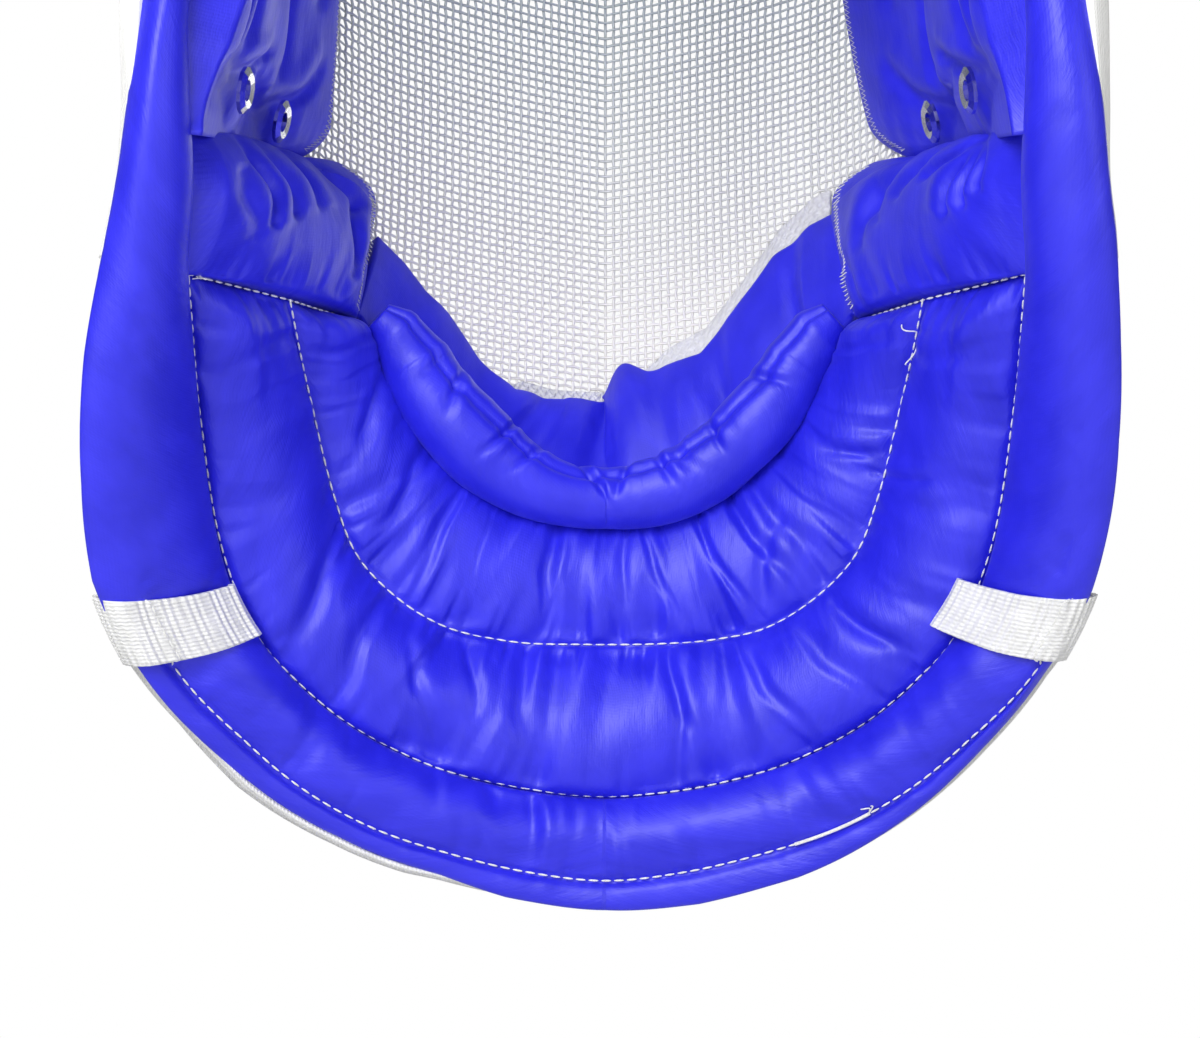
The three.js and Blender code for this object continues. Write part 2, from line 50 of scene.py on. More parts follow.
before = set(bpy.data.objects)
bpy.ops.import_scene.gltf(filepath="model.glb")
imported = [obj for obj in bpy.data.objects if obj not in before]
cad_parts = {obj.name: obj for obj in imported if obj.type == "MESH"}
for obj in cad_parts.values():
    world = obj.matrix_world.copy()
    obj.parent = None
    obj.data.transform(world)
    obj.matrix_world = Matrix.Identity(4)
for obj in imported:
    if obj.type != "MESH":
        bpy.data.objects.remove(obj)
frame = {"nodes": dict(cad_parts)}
CAD_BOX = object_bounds()

MM = 0.001
SEAT_HEIGHT = 148.0
HEAD_CENTRE = np.array([0.0, -20.0, 0.0])
THROAT_CENTRE = np.array([0.0, -60.0, -120.0])

# Sizes shared with the frame, in millimetres from nose level
CAGE_HALF_WIDTH = 115.0
FACE_DEPTH = 133.0
CROWN_RISE = 165.0
RIM_BACK = 62.0
CHIN_DROP = 82.0
RIDGE_SLOPE = math.radians(22)
CHEEK_SLOPE = math.radians(35)
FACE_WIDTH = 0.59 * CAGE_HALF_WIDTH
BIB_HALF_WIDTH = 151.0
THROAT_DEPTH = 92.0
BIB_DROP = 262.0
SHELL_OFFSET = 3.4
SHELL_WALL = 2.0
ROLL_TOP = 7.0
INNER_SEAM_AT = 0.4
OUTER_SEAM_AT = 0.75
THROAT_SHARE = 0.6
JAW_FRONT = 0.37
JAW_REAR = 0.95
PAD_FRONT = 0.465
PAD_REAR = 0.99
PAD_TOP_ROW = 0.68
FOLD_FRONT = -4.0
FOLD_REAR = -51.0

# Ridge of the cage: forward of FACE_DEPTH, height and rear end's height of CROWN_RISE
RIDGE_ROWS = [
    (0.83, -0.6, -0.6), (0.93, -0.36, -0.36), (0.985, -0.17, -0.17), (1, 0.02, -0.01),
    (0.91, 0.4, 0.09), (0.69, 0.715, 0.155), (0.34, 0.94, 0.2), (0, 1, 0.225), (-0.3, 0.91, 0.242),
]
# Lower edge of the cage: sideways of CAGE_HALF_WIDTH, drop of CHIN_DROP
EDGE_ROWS = [
    (0, 1), (0.17, 0.976), (0.33, 0.88), (0.43, 0.7),
    (0.55, 0.46), (0.65, 0.35), (0.83, 0.29), (1, 0.25),
]
# Sag of the lower edge: sideways and down, in millimetres
SAG_ROWS = [(-96, 0), (-84, 8), (-68, 19), (-50, 19), (-34, 14), (-18, 9), (0, 5), (14, 2), (26, 0)]
# Seams of the bib: sideways of BIB_HALF_WIDTH, forward of THROAT_DEPTH, down of BIB_DROP
NECK_ROWS = [
    (0, 1, 0.497), (0.146, 0.978, 0.485), (0.285, 0.935, 0.447), (0.404, 0.848, 0.393),
    (0.49, 0.761, 0.334), (0.556, 0.609, 0.275),
]
INNER_SEAM_ROWS = [
    (0, 1, 0.668), (0.232, 0.967, 0.664), (0.364, 0.902, 0.649), (0.47, 0.815, 0.615),
    (0.55, 0.728, 0.569), (0.596, 0.63, 0.504), (0.642, 0.435, 0.393), (0.662, 0.109, 0.309),
]
OUTER_SEAM_ROWS = [
    (0, 0.978, 0.863), (0.298, 0.935, 0.84), (0.444, 0.859, 0.813), (0.57, 0.761, 0.775),
    (0.669, 0.652, 0.729), (0.735, 0.543, 0.687), (0.801, 0.37, 0.592), (0.828, 0.109, 0.458),
    (0.815, -0.304, 0.332),
]
HEM_ROWS = [
    (0, 0.978, 1), (0.272, 0.935, 0.977), (0.583, 0.772, 0.92), (0.801, 0.522, 0.828),
    (0.927, 0.283, 0.74), (0.987, 0.054, 0.649), (1, -0.217, 0.542), (0.987, -0.391, 0.458),
    (0.96, -0.543, 0.37),
]
# Rolled rim above the horizontal seam: its inner crease, then its outer side
ROLL_RISE_ROWS = [
    (0.778, -0.54, 0.252, 0.927, -0.674, 0.286),
    (0.775, -0.68, 0.172, 0.901, -0.79, 0.198),
    (0.782, -0.73, 0.076, 0.868, -0.86, 0.095),
]
RIM_SIDE_ROWS = (0.45, 0.75)
RIM_TOP_ROWS = (0.84, 0.68, 0.5, 0.3, 0)
LOWER_STATIONS = 11

# Long creases of the lining: start x and z, end x and z, width and depth, in millimetres
CREASE_ROWS = [
    (-79, -86, -89, -123, 4.0, 2.2), (-61, -108, -78, -138, 5.0, 2.0),
    (-90, -143, -104, -178, 5.0, 2.2), (-90, -70, -98, -86, 3.5, 1.8), (22, -172, 26, -223, 4.5, 1.8),
    (-48, -167, -46, -198, 4.0, 1.5), (-68, -180, -60, -205, 4.0, 1.4), (81, -116, 94, -118, 3.0, 1.8),
    (89, -124, 106, -130, 3.0, 1.6), (78, -165, 100, -184, 4.5, 2.2), (97, -186, 115, -200, 4.0, 1.8),
    (60, -138, 52, -166, 5.0, 1.4), (-20, -138, -24, -170, 5.0, 1.2), (8, -136, 5, -168, 4.0, 1.1),
]

# Points of a side pad's grid along and down, and the rows that tuck under the roll
PAD_ROWS = 120
PAD_COLUMNS = 88
TUCK_ROWS = 14
# Snaps on the temple pads: shares of its length and height
SNAP_PLACES = [(0.42, 0.91), (0.85, 0.91)]
# Length and height that the folds of the pads are placed in, in millimetres
TEMPLE_SPAN = (100, 115)
CHEEK_SPAN = (100, 75)
# Folds of the pads, in millimetres from the top front corner: start, end, width and depth
TEMPLE_CREASES = [
    (85, 92, 78, 40, 7, 3.5), (80, 95, 60, 84, 5, 3.0), (60, 92, 44, 100, 5, 2.5),
    (38, 96, 18, 82, 6, 2.5), (45, 92, 42, 55, 6, 2.0), (22, 60, 16, 20, 9, 2.0),
    (90, 90, 96, 55, 5, 2.5),
]
CHEEK_CREASES_LEFT = [
    (82, 3, 72, 46, 6, 3.0), (70, 3, 58, 40, 7, 2.5), (48, 4, 44, 34, 6, 2.5), (30, 4, 16, 28, 6, 3.0),
    (15, 26, 17, 62, 6, 4.0), (5, 44, 9, 70, 5, 2.5), (90, 20, 84, 52, 9, 1.8),
]
CHEEK_CREASES_RIGHT = [
    (84, 2, 62, 22, 5, 3.0), (84, 2, 76, 40, 5, 3.0), (86, 2, 86, 36, 4, 3.0), (88, 2, 93, 28, 4, 2.5),
    (60, 2, 44, 30, 7, 2.5), (34, 2, 30, 40, 8, 2.5), (26, 20, 22, 50, 6, 2.0), (6, 50, 14, 72, 5, 2.5),
]
# Chin roll: share of the half length and radius, in millimetres
CHIN_ROLL_ROWS = [(0, 9.3), (0.3, 10.2), (0.55, 11.2), (0.8, 10.6), (0.93, 8.6), (1, 4.6)]
CHIN_HALF_LENGTH = 115
# Chin roll: angle of its long crease, and short creases (share of length, slope, reach, depth)
CHIN_SEAM_ANGLE = -2.25
CHIN_PINCHES = [
    (-0.66, 0.6, 0.7, 2.6), (-0.44, -0.3, 0.8, 3.0), (-0.30, -0.5, 0.7, 2.4), (-0.06, 0.8, 0.9, 3.2),
    (0.07, -0.4, 0.8, 2.0), (0.22, 0.2, 0.8, 2.6), (0.46, -0.2, 0.7, 2.2), (0.70, 0.3, 0.8, 2.2),
]
# Lobes of the chin lining: place, half width, rise over the cage's edge and depth, in millimetres
CHIN_LOBES = [
    (-62, 12, 0, 3.5), (-38, 9, 1.5, 5.5), (-17, 10, 2.0, 4.0), (-5, 6, 0, 1.0), (12, 10, 10, 6.5),
    (32, 9, 1.0, 5.0), (52, 10, 0, 3.5),
]
# Pitch of the cage's rows, as a share of the pitch of its columns
ROW_PITCH = 0.94
# Width of the tape that shows along the cage's edge
TAPE_ROWS = [(-76, 1), (-40, 1), (-30, 9), (0, 8), (10, 8), (22, 14), (76, 14)]
# Roll's outer side: station number from the middle below, minus on the left,
# and millimetres beyond its sewn width
ROLL_EDGE_ROWS = [
    (-17, 2.5), (-15, -3), (-12.9, -5.9), (-11.3, -4), (-10.2, -1), (-8.8, 1.2), (-7.7, 4.2),
    (-6.5, 1.9), (-5, 0.2), (-3.3, -1.6), (-2, -1.4), (-1.2, 0.3), (0, 0.3), (1.1, 2),
    (2.3, 1.7), (3.3, -0.8), (5, -4.1), (6.1, -5.8), (7.4, -4.2), (9.2, -5.3), (10.3, -4.1),
    (11.5, -1.5), (13, -0.8), (15, 0.5), (17, 2.5),
]
# Tabs: how far the inner end stands off the roll's crease, and how far the outer end is drawn in
TAB_ENDS = {"left": (4.4, 1.1), "right": (-3.4, 1.5)}
# Rows of a pad's grid that give the overlock thread its place and direction
OVERLOCK_ROWS = (6, 12)
# Loose thread ends on the bib: share along, share down, millimetres sideways and up
LOOSE_ENDS = [(0.93, 0.4, -3.5, 4.5), (0.9, 0.41, -2.5, -4.0), (-0.995, 0.75, 3.0, 3.5)]
# Loose ends and a thick back stitch on the edge seam: station numbers, then millimetres sideways and up
HEM_ENDS = [(-7.35, -3.0, 5.0), (7.35, 2.5, 5.5), (7.3, 4.5, 1.5), (3.42, 2.0, 4.5), (3.42, -1.5, 3.0)]
BACKSTITCH = (2.4, 3.42)
# Tabs: station number, and how far they lean up the rim for each millimetre outwards
TAB_STATION = 6.55
TAB_LEAN = 0.5
# Lengths that the noise along the bib and the roll is measured in, in millimetres
BIB_RUN = 210
STATION_RUN = 22.0


def length(name, description, default, least):
    """A length that the sidebar shows, in metres."""
    return bpy.props.FloatProperty(
        name=name, description=description, default=default, min=least, unit="LENGTH"
    )


def colour(name, description, default):
    """A colour that the sidebar shows."""
    return bpy.props.FloatVectorProperty(
        name=name, description=description, default=default, subtype="COLOR", size=3
    )


class MaskSizes(bpy.types.PropertyGroup):
    """Sizes that a user would change"""

    wire_pitch: length("Wire pitch", "Distance between cage wires", 0.0031, 0.002)
    wire_width: length("Wire width", "Diameter of a cage wire", 0.00105, 0.0004)
    stitch_pitch: length("Stitch pitch", "Length from stitch to stitch", 0.0041, 0.002)
    thread_width: length("Thread width", "Diameter of the sewing thread", 0.0007, 0.0002)
    channel_puff: length("Channel puff", "Height of the quilted channels", 0.0105, 0.002)
    webbing_width: length("Webbing width", "Width of the two webbing tabs", 0.021, 0.01)


class MaskColours(bpy.types.PropertyGroup):
    """Colours that a user would change"""

    nylon: colour("Nylon", "Blue satin nylon", (0.011, 0.011, 0.6))
    nylon_light: colour("Nylon light", "Blue where it is worn or stretched", (0.02, 0.019, 0.7))
    cloth: colour("White cloth", "Shell and binding", (0.82, 0.82, 0.8))
    webbing: colour("Webbing", "Ribbed tape and tabs", (0.84, 0.84, 0.82))
    # The cage is one steel: the light chin colour is painted light and the darker brow colour is painted
    # shade inside the top of the cage
    wire: colour("Wire", "Cage wire at the chin", (0.92, 0.9, 0.86))
    wire_brow: colour("Wire at the brow", "Cage wire higher up", (0.45, 0.5, 0.5))
    thread: colour("Thread", "Sewing thread", (0.85, 0.85, 0.8))


def sizes():
    return bpy.context.scene.mask_sizes


def colours():
    return bpy.context.scene.mask_colours


# Curves and surfaces, as the frame has them


def dense_curve(points, closed=False, fine=24):
    """Centripetal curve through the points, as many samples to each span."""
    points = np.asarray(points, float)
    count = len(points)
    spans = count if closed else count - 1
    share = np.linspace(0, 1, fine, endpoint=False)[:, None]
    pieces = []
    for i in range(spans):
        p1, p2 = points[i], points[(i + 1) % count]
        p0 = points[i - 1] if closed or i > 0 else 2 * p1 - p2
        p3 = points[(i + 2) % count] if closed or i + 2 < count else 2 * p2 - p1
        steps = [max(np.linalg.norm(b - a), 1e-6) ** 0.5 for a, b in ((p0, p1), (p1, p2), (p2, p3))]
        first = ((p1 - p0) / steps[0] - (p2 - p0) / (steps[0] + steps[1]) + (p2 - p1) / steps[1]) * steps[1]
        last = ((p2 - p1) / steps[1] - (p3 - p1) / (steps[1] + steps[2]) + (p3 - p2) / steps[2]) * steps[1]
        square, cube = share**2, share**3
        pieces.append(
            p1
            + first * share
            + (3 * (p2 - p1) - 2 * first - last) * square
            + (2 * (p1 - p2) + first + last) * cube
        )
    pieces.append(points[:1] if closed else points[-1:])
    return np.concatenate(pieces)


def read_curve(dense, at):
    """Points of a dense curve at shares of its own parameter."""
    grid = np.linspace(0, 1, len(dense))
    return np.stack([np.interp(at, grid, dense[:, k]) for k in range(dense.shape[1])], -1)


def read_rows(rows, at):
    """Second number of a table's rows, read between the first ones."""
    return np.interp(at, [row[0] for row in rows], [row[1] for row in rows])


def nearness(away, width):
    """A soft share that is one at nought and fades out over a width."""
    return np.exp(-((away / width) ** 2))


def unit(directions):
    """Directions with a length of one."""
    return directions / np.linalg.norm(directions, axis=-1, keepdims=True)


def run_lengths(points):
    return np.concatenate([[0], np.cumsum(np.linalg.norm(np.diff(points, axis=0), axis=1))])


def bib_points(rows):
    return np.array([(x * BIB_HALF_WIDTH, y * THROAT_DEPTH, -z * BIB_DROP) for x, y, z in rows])


def rail_from(rows):
    """A rail read by its share of length from the middle outwards."""
    half = bib_points(rows)
    other = half[:0:-1] * (-1, 1, 1)
    dense = dense_curve(np.concatenate([other, half]))
    length = run_lengths(dense)
    middle = length[-1] / 2

    def rail(share):
        at = middle + np.asarray(share, float) * middle
        return np.stack([np.interp(at, length, dense[:, k]) for k in range(3)], -1)

    return rail


NECK = rail_from(NECK_ROWS)
INNER_SEAM = rail_from(INNER_SEAM_ROWS)
OUTER_SEAM = rail_from(OUTER_SEAM_ROWS)
HEM = rail_from(HEM_ROWS)
RIDGE = dense_curve([(side * CROWN_RISE, y * FACE_DEPTH, z * CROWN_RISE) for y, z, side in RIDGE_ROWS])

FACE_RADIUS = FACE_WIDTH / (math.sin(CHEEK_SLOPE) - math.sin(RIDGE_SLOPE))
CHEEK_RADIUS = (CAGE_HALF_WIDTH - FACE_WIDTH) / (1 - math.sin(CHEEK_SLOPE))
FACE_ARC = FACE_RADIUS * (CHEEK_SLOPE - RIDGE_SLOPE)
CHEEK_ARC = CHEEK_RADIUS * (math.pi / 2 - CHEEK_SLOPE)
FACE_FALL = FACE_RADIUS * (math.cos(RIDGE_SLOPE) - math.cos(CHEEK_SLOPE))
CURVED_DEPTH = FACE_FALL + CHEEK_RADIUS * math.cos(CHEEK_SLOPE)


def section_at(length):
    face = RIDGE_SLOPE + np.clip(length, 0, FACE_ARC) / FACE_RADIUS
    cheek = CHEEK_SLOPE + np.clip(length - FACE_ARC, 0, CHEEK_ARC) / CHEEK_RADIUS
    width = FACE_RADIUS * (np.sin(face) - math.sin(RIDGE_SLOPE))
    width = width + CHEEK_RADIUS * (np.sin(cheek) - math.sin(CHEEK_SLOPE))
    fall = FACE_RADIUS * (math.cos(RIDGE_SLOPE) - np.cos(face))
    fall = fall + CHEEK_RADIUS * (math.cos(CHEEK_SLOPE) - np.cos(cheek))
    return width, fall + np.clip(length - FACE_ARC - CHEEK_ARC, 0, None)


def cage_row(row):
    """Start, backward unit and depth of a row of the cage."""
    foot = read_curve(RIDGE, row)
    start = np.stack([np.zeros_like(foot[..., 0]), foot[..., 1], foot[..., 2]], -1)
    back = np.stack([np.zeros_like(foot[..., 0]), -RIM_BACK - foot[..., 1], foot[..., 0] - foot[..., 2]], -1)
    depth = np.linalg.norm(back, axis=-1)
    return start, back / depth[..., None], depth


def row_length(depth):
    return FACE_ARC + CHEEK_ARC + np.clip(depth - CURVED_DEPTH, 0, None)


def cage(across, row):
    """Point of the cage: across from -1 to 1, row from 0 to 1."""
    across, row = np.broadcast_arrays(np.asarray(across, float), np.asarray(row, float))
    start, back, depth = cage_row(row)
    width, fall = section_at(np.abs(across) * row_length(depth))
    fall = fall * np.minimum(1, depth / CURVED_DEPTH)
    point = start + back * fall[..., None]
    point[..., 0] = np.sign(across) * width
    return point


def row_at_height(across, height):
    low = np.zeros(np.broadcast(across, height).shape)
    high = low + 0.6
    for _ in range(20):
        middle = (low + high) / 2
        below = cage(across, middle)[..., 2] < height
        low = np.where(below, middle, low)
        high = np.where(below, high, middle)
    return low


def edge_height(across):
    """Height of the cage's lower edge, which sags on the side where the lining has sunk."""
    place = cage(across, 0.3)[..., 0]
    share = np.abs(place) / CAGE_HALF_WIDTH
    return -CHIN_DROP * read_rows(EDGE_ROWS, share) - read_rows(SAG_ROWS, place)


def edge_row(across):
    return row_at_height(across, edge_height(across))


def signed(points, share):
    out = points.copy()
    out[..., 0] *= np.where(share < 0, -1.0, 1.0)
    return out


def bib(along, down):
    """Sewn surface of the bib: along from -1 to 1, down from the neck to the hem."""
    along, down = np.broadcast_arrays(np.asarray(along, float), np.asarray(down, float))
    size = np.abs(along)
    rails = [NECK(size), INNER_SEAM(size), OUTER_SEAM(size), HEM(size)]
    places = [0, INNER_SEAM_AT, OUTER_SEAM_AT, 1]
    point = np.zeros(size.shape + (3,))
    for k in range(3):
        share = np.clip((down - places[k]) / (places[k + 1] - places[k]), 0, 1)[..., None]
        inside = (down >= places[k]) if k else np.ones_like(down, bool)
        point = np.where(inside[..., None], rails[k] * (1 - share) + rails[k + 1] * share, point)
    return signed(point, along)


def jaw_across(along):
    share = (along - THROAT_SHARE) / (1 - THROAT_SHARE)
    front = JAW_FRONT * along / THROAT_SHARE
    return np.where(along < THROAT_SHARE, front, JAW_FRONT + (JAW_REAR - JAW_FRONT) * share)


def jaw_foot(along):
    share = (2 * (along - THROAT_SHARE) / (1 - THROAT_SHARE))[..., None]
    one = np.ones_like(along)
    front = NECK(np.clip(along / THROAT_SHARE, 0, 1))
    middle = NECK(one) * (1 - share) + INNER_SEAM(one) * share
    rear = INNER_SEAM(one) * (2 - share) + OUTER_SEAM(one) * (share - 1)
    return np.where(share < 0, front, np.where(share < 1, middle, rear))


def jaw(along, down):
    along, down = np.broadcast_arrays(np.asarray(along, float), np.asarray(down, float))
    size = np.abs(along)
    across = jaw_across(size) * np.where(along < 0, -1, 1)
    top = cage(across, edge_row(across))
    return top * (1 - down[..., None]) + signed(jaw_foot(size), along) * down[..., None]


def normals_of(points, inside):
    """Unit normals of a grid of points, pointing away from a place inside the mask."""
    normal = np.cross(np.gradient(points, axis=0), np.gradient(points, axis=1))
    normal /= np.linalg.norm(normal, axis=-1, keepdims=True) + 1e-12
    turn = np.sum(normal * (points - inside), -1, keepdims=True) < 0
    return np.where(turn, -normal, normal)


def bump(share, power=0.5):
    return np.sin(np.pi * np.clip(share, 0, 1)).clip(0) ** power


def roll_rails():
    """Stations of the rim roll from the hem's middle to the crown: crease, outer side, depths."""
    inner, outer, ahead, behind = [], [], [], []
    for i in range(LOWER_STATIONS + 1):
        along = i / LOWER_STATIONS
        inner.append(OUTER_SEAM(along))
        outer.append(HEM(along))
        ahead.append(9 + 3 * along**2)
        behind.append(SHELL_OFFSET - 0.5)
    for row in ROLL_RISE_ROWS:
        inner.append(bib_points([row[:3]])[0])
        outer.append(bib_points([row[3:]])[0])
        ahead.append(ROLL_TOP + 2)
        behind.append(ROLL_TOP)
    places = [(1.0, row) for row in RIM_SIDE_ROWS] + [(across, 1.0) for across in RIM_TOP_ROWS]
    for across, row in places:
        grid = cage(np.array([[across - 0.01], [across], [across + 0.01]]).clip(0, 1), [[row - 0.01, row]])
        edge = cage(across, row)
        normal = normals_of(grid, HEAD_CENTRE)[1, 1]
        if across == 0:
            normal = normal * (0, 1, 1) / np.linalg.norm(normal[1:])
        out = edge + 2 * ROLL_TOP * normal
        inner.append(np.array([edge[0], edge[1] - 1.5, edge[2]]))
        outer.append(np.array([out[0], edge[1] - 0.5 - 2 * ROLL_TOP, out[2]]))
        ahead.append(ROLL_TOP)
        behind.append(ROLL_TOP)
    return np.array(inner), np.array(outer), np.array(ahead), np.array(behind)


ROLL_INNER, ROLL_OUTER, ROLL_AHEAD, ROLL_BEHIND = roll_rails()
STATION_COUNT = len(ROLL_AHEAD)
LOOP_COUNT = 2 * (STATION_COUNT - 1)


def whole_loop(half):
    return dense_curve(np.concatenate([half, half[-2:0:-1] * (-1, 1, 1)]), closed=True)


INNER_LOOP = whole_loop(ROLL_INNER)
OUTER_LOOP = whole_loop(ROLL_OUTER)


def roll_frames(stations):
    """Centre, outward unit, half width, depth unit and depths of the roll at station numbers."""
    share = (np.asarray(stations, float) / LOOP_COUNT) % 1
    inner, outer = read_curve(INNER_LOOP, share), read_curve(OUTER_LOOP, share)
    centre = (inner + outer) / 2
    half = np.linalg.norm(outer - inner, axis=-1) / 2
    outward = (outer - inner) / (2 * half[..., None])
    shift = 0.002
    ahead = sum(read_curve(loop, (share + shift) % 1) for loop in (INNER_LOOP, OUTER_LOOP))
    before = sum(read_curve(loop, (share - shift) % 1) for loop in (INNER_LOOP, OUTER_LOOP))
    tangent = ahead - before
    depth = unit(np.cross(outward, tangent))
    place = np.where(share > 0.5, 1 - share, share) * LOOP_COUNT
    grid = np.arange(STATION_COUNT)
    return {
        "centre": centre,
        "outward": outward,
        "half": half,
        "depth": depth,
        "ahead": np.interp(place, grid, ROLL_AHEAD),
        "behind": np.interp(place, grid, ROLL_BEHIND),
    }


def roll_points(frames, sideways, deep):
    """Points at distances outwards and towards the wearer from the roll's centre line."""
    return (
        frames["centre"][:, None]
        + frames["outward"][:, None] * sideways[..., None]
        + frames["depth"][:, None] * deep[..., None]
    )


def roll_edge(place):
    """How far the roll's outer side stands beyond its sewn width, at signed station numbers."""
    return read_rows(ROLL_EDGE_ROWS, place)


# Meshes


def in_frame(points):
    """Metres in the frame, from millimetres at nose level."""
    return (np.asarray(points, float) - (0, 0, SEAT_HEIGHT)) * MM


def volume_of(points, faces):
    faces = np.asarray(faces)
    a, b, c = points[faces[:, 0]], points[faces[:, 1]], points[faces[:, 2]]
    d = points[faces[:, 3]]
    return np.sum(np.einsum("ij,ij->i", a, np.cross(b, c)) + np.einsum("ij,ij->i", a, np.cross(c, d)))


def placed(name, data):
    """A new object in the scene."""
    piece = bpy.data.objects.new(name, data)
    bpy.context.scene.collection.objects.link(piece)
    return piece


def mesh_piece(name, points, quads, uv, material):
    """A smooth closed piece from quads, faces outwards, with a cloth UV in metres."""
    points = in_frame(points)
    quads = np.asarray(quads)
    if volume_of(points, quads) < 0:
        quads = quads[:, ::-1]
    mesh = bpy.data.meshes.new(name)
    mesh.vertices.add(len(points))
    mesh.vertices.foreach_set("co", points.ravel())
    mesh.loops.add(quads.size)
    mesh.loops.foreach_set("vertex_index", quads.ravel().astype(np.int32))
    mesh.polygons.add(len(quads))
    mesh.polygons.foreach_set("loop_start", (np.arange(len(quads)) * 4).astype(np.int32))
    mesh.polygons.foreach_set("loop_total", np.full(len(quads), 4, np.int32))
    mesh.update(calc_edges=True)
    layer = mesh.uv_layers.new(name="cloth")
    layer.data.foreach_set("uv", (uv[quads.ravel()] * MM).ravel())
    mesh.polygons.foreach_set("use_smooth", np.ones(len(quads), bool))
    mesh.materials.append(material)
    return placed(name, mesh)


def cloth_uv(points):
    """Distances along the columns and rows of a grid of points."""
    rows = np.linalg.norm(np.diff(points, axis=0), axis=-1)
    columns = np.linalg.norm(np.diff(points, axis=1), axis=-1)
    u = np.concatenate([np.zeros((1, points.shape[1])), np.cumsum(rows, 0)])
    v = np.concatenate([np.zeros((points.shape[0], 1)), np.cumsum(columns, 1)], 1)
    return np.stack([u - u[-1] / 2, v], -1)


def sheet_piece(name, front, back, material):
    """A closed piece between two grids of points."""
    rows, columns = front.shape[:2]
    points = np.concatenate([front.reshape(-1, 3), back.reshape(-1, 3)])
    index = np.arange(rows * columns).reshape(rows, columns)
    quads = np.stack([index[:-1, :-1], index[1:, :-1], index[1:, 1:], index[:-1, 1:]], -1).reshape(-1, 4)
    border = np.concatenate([index[:-1, 0], index[-1, :-1], index[:0:-1, -1], index[0, :0:-1]])
    after = np.roll(border, -1)
    size = rows * columns
    wall = np.stack([border, border + size, after + size, after], -1)
    uv = cloth_uv(front).reshape(-1, 2)
    quads = np.concatenate([quads, quads[:, ::-1] + size, wall])
    return mesh_piece(name, points, quads, np.concatenate([uv, uv]), material)


def ring_piece(name, rings, material, closed=True):
    """A closed piece from rings of points, joined end to end or capped by shrinking its ends."""
    if not closed:
        ends = [np.repeat(ring.mean(0)[None], len(ring), 0) for ring in (rings[0], rings[-1])]
        near = [0.5 * ends[0] + 0.5 * rings[0], 0.5 * ends[1] + 0.5 * rings[-1]]
        tip = [0.02 * (near[k] - ends[k]) + ends[k] for k in range(2)]
        rings = np.concatenate([[tip[0]], [near[0]], rings, [near[1]], [tip[1]]])
    count, sides = rings.shape[:2]
    index = np.arange(count * sides).reshape(count, sides)
    after = np.roll(index, -1, 0)
    side = np.roll(index, -1, 1)
    corner = np.roll(after, -1, 1)
    quads = np.stack([index, after, corner, side], -1)
    if not closed:
        quads = quads[:-1]
    quads = quads.reshape(-1, 4)
    if not closed:
        caps = []
        for start in (0, (count - 1) * sides):
            for k in range(sides // 2 - 1):
                quad = [start + k, start + k + 1, start + sides - 2 - k, start + sides - 1 - k]
                caps.append(quad if start == 0 else quad[::-1])
        quads = np.concatenate([quads, caps])
    uv = cloth_uv(rings).reshape(-1, 2)
    return mesh_piece(name, rings.reshape(-1, 3), quads, uv, material)


def seeded(seed):
    return np.random.default_rng(seed)


def smooth_noise(where, pitch, seed):
    """Smooth noise from -1 to 1 along a length, with a knot at each pitch."""
    generator = seeded(seed)
    low = where.min() - 2 * pitch
    knots = np.arange(low, where.max() + 3 * pitch, pitch)
    values = generator.uniform(-1, 1, len(knots))
    place = (where - low) / pitch
    base = np.floor(place).astype(int).clip(0, len(knots) - 2)
    share = place - base
    share = share * share * (3 - 2 * share)
    return values[base] * (1 - share) + values[base + 1] * share


def gathers(run, gap, seed, reach=9.0, height=1.0):
    """Short sharp gathers that run out from a seam: run is the length along it, gap the way from it."""
    lean = run + 0.3 * gap * smooth_noise(run, 30, seed + 5)
    fine = np.clip(smooth_noise(lean, 3.4, seed), 0, None) ** 1.3
    short = np.clip(smooth_noise(lean, 6.5, seed + 1), 0, None) ** 1.2
    long = np.clip(smooth_noise(lean, 10.5, seed + 2), 0, None) ** 1.2
    far = 0.5 + 0.5 * smooth_noise(run, 17, seed + 3)
    away = 1 - nearness(gap, 1.4)
    close = nearness(gap, 0.8 * reach) * away
    middle = nearness(gap, reach * (0.7 + far)) * away
    wide = nearness(gap, reach * (1.2 + 1.8 * far)) * (1 - nearness(gap, 3))
    return height * (0.7 * away - 2.1 * fine * close - 3.6 * short * middle - 4.2 * long * wide)


def crease_depth(place, rows):
    """Depth of long creases at places in a plane, each row a start, an end, a width and a depth."""
    depth = np.zeros(place.shape[:-1])
    for x1, z1, x2, z2, width, deep in rows:
        start = np.array([x1, z1], float)
        run = np.array([x2, z2], float) - start
        length = np.linalg.norm(run)
        run /= length
        away = place - start
        along = away @ run
        side = away @ np.array([-run[1], run[0]])
        side = side + 0.25 * width * np.sin(along / 6.0)
        share = along / length
        past = (np.clip(-share, 0, None) + np.clip(share - 1, 0, None)) * length
        fade = nearness(past, 3.5) * (0.4 + 0.6 * bump(np.clip(share, 0.1, 0.9), 1))
        depth -= deep * fade * nearness(side, 0.5 * width)
        depth += 0.4 * deep * fade * nearness(side - 1.25 * width, 0.8 * width)
    return depth


# Geometry node trees


def new_tree(name, inputs):
    tree = bpy.data.node_groups.new(name, "GeometryNodeTree")
    tree.interface.new_socket("Geometry", in_out="INPUT", socket_type="NodeSocketGeometry")
    for label, kind in inputs:
        tree.interface.new_socket(label, in_out="INPUT", socket_type=kind)
    tree.interface.new_socket("Geometry", in_out="OUTPUT", socket_type="NodeSocketGeometry")
    return tree, tree.nodes.new("NodeGroupInput"), tree.nodes.new("NodeGroupOutput")


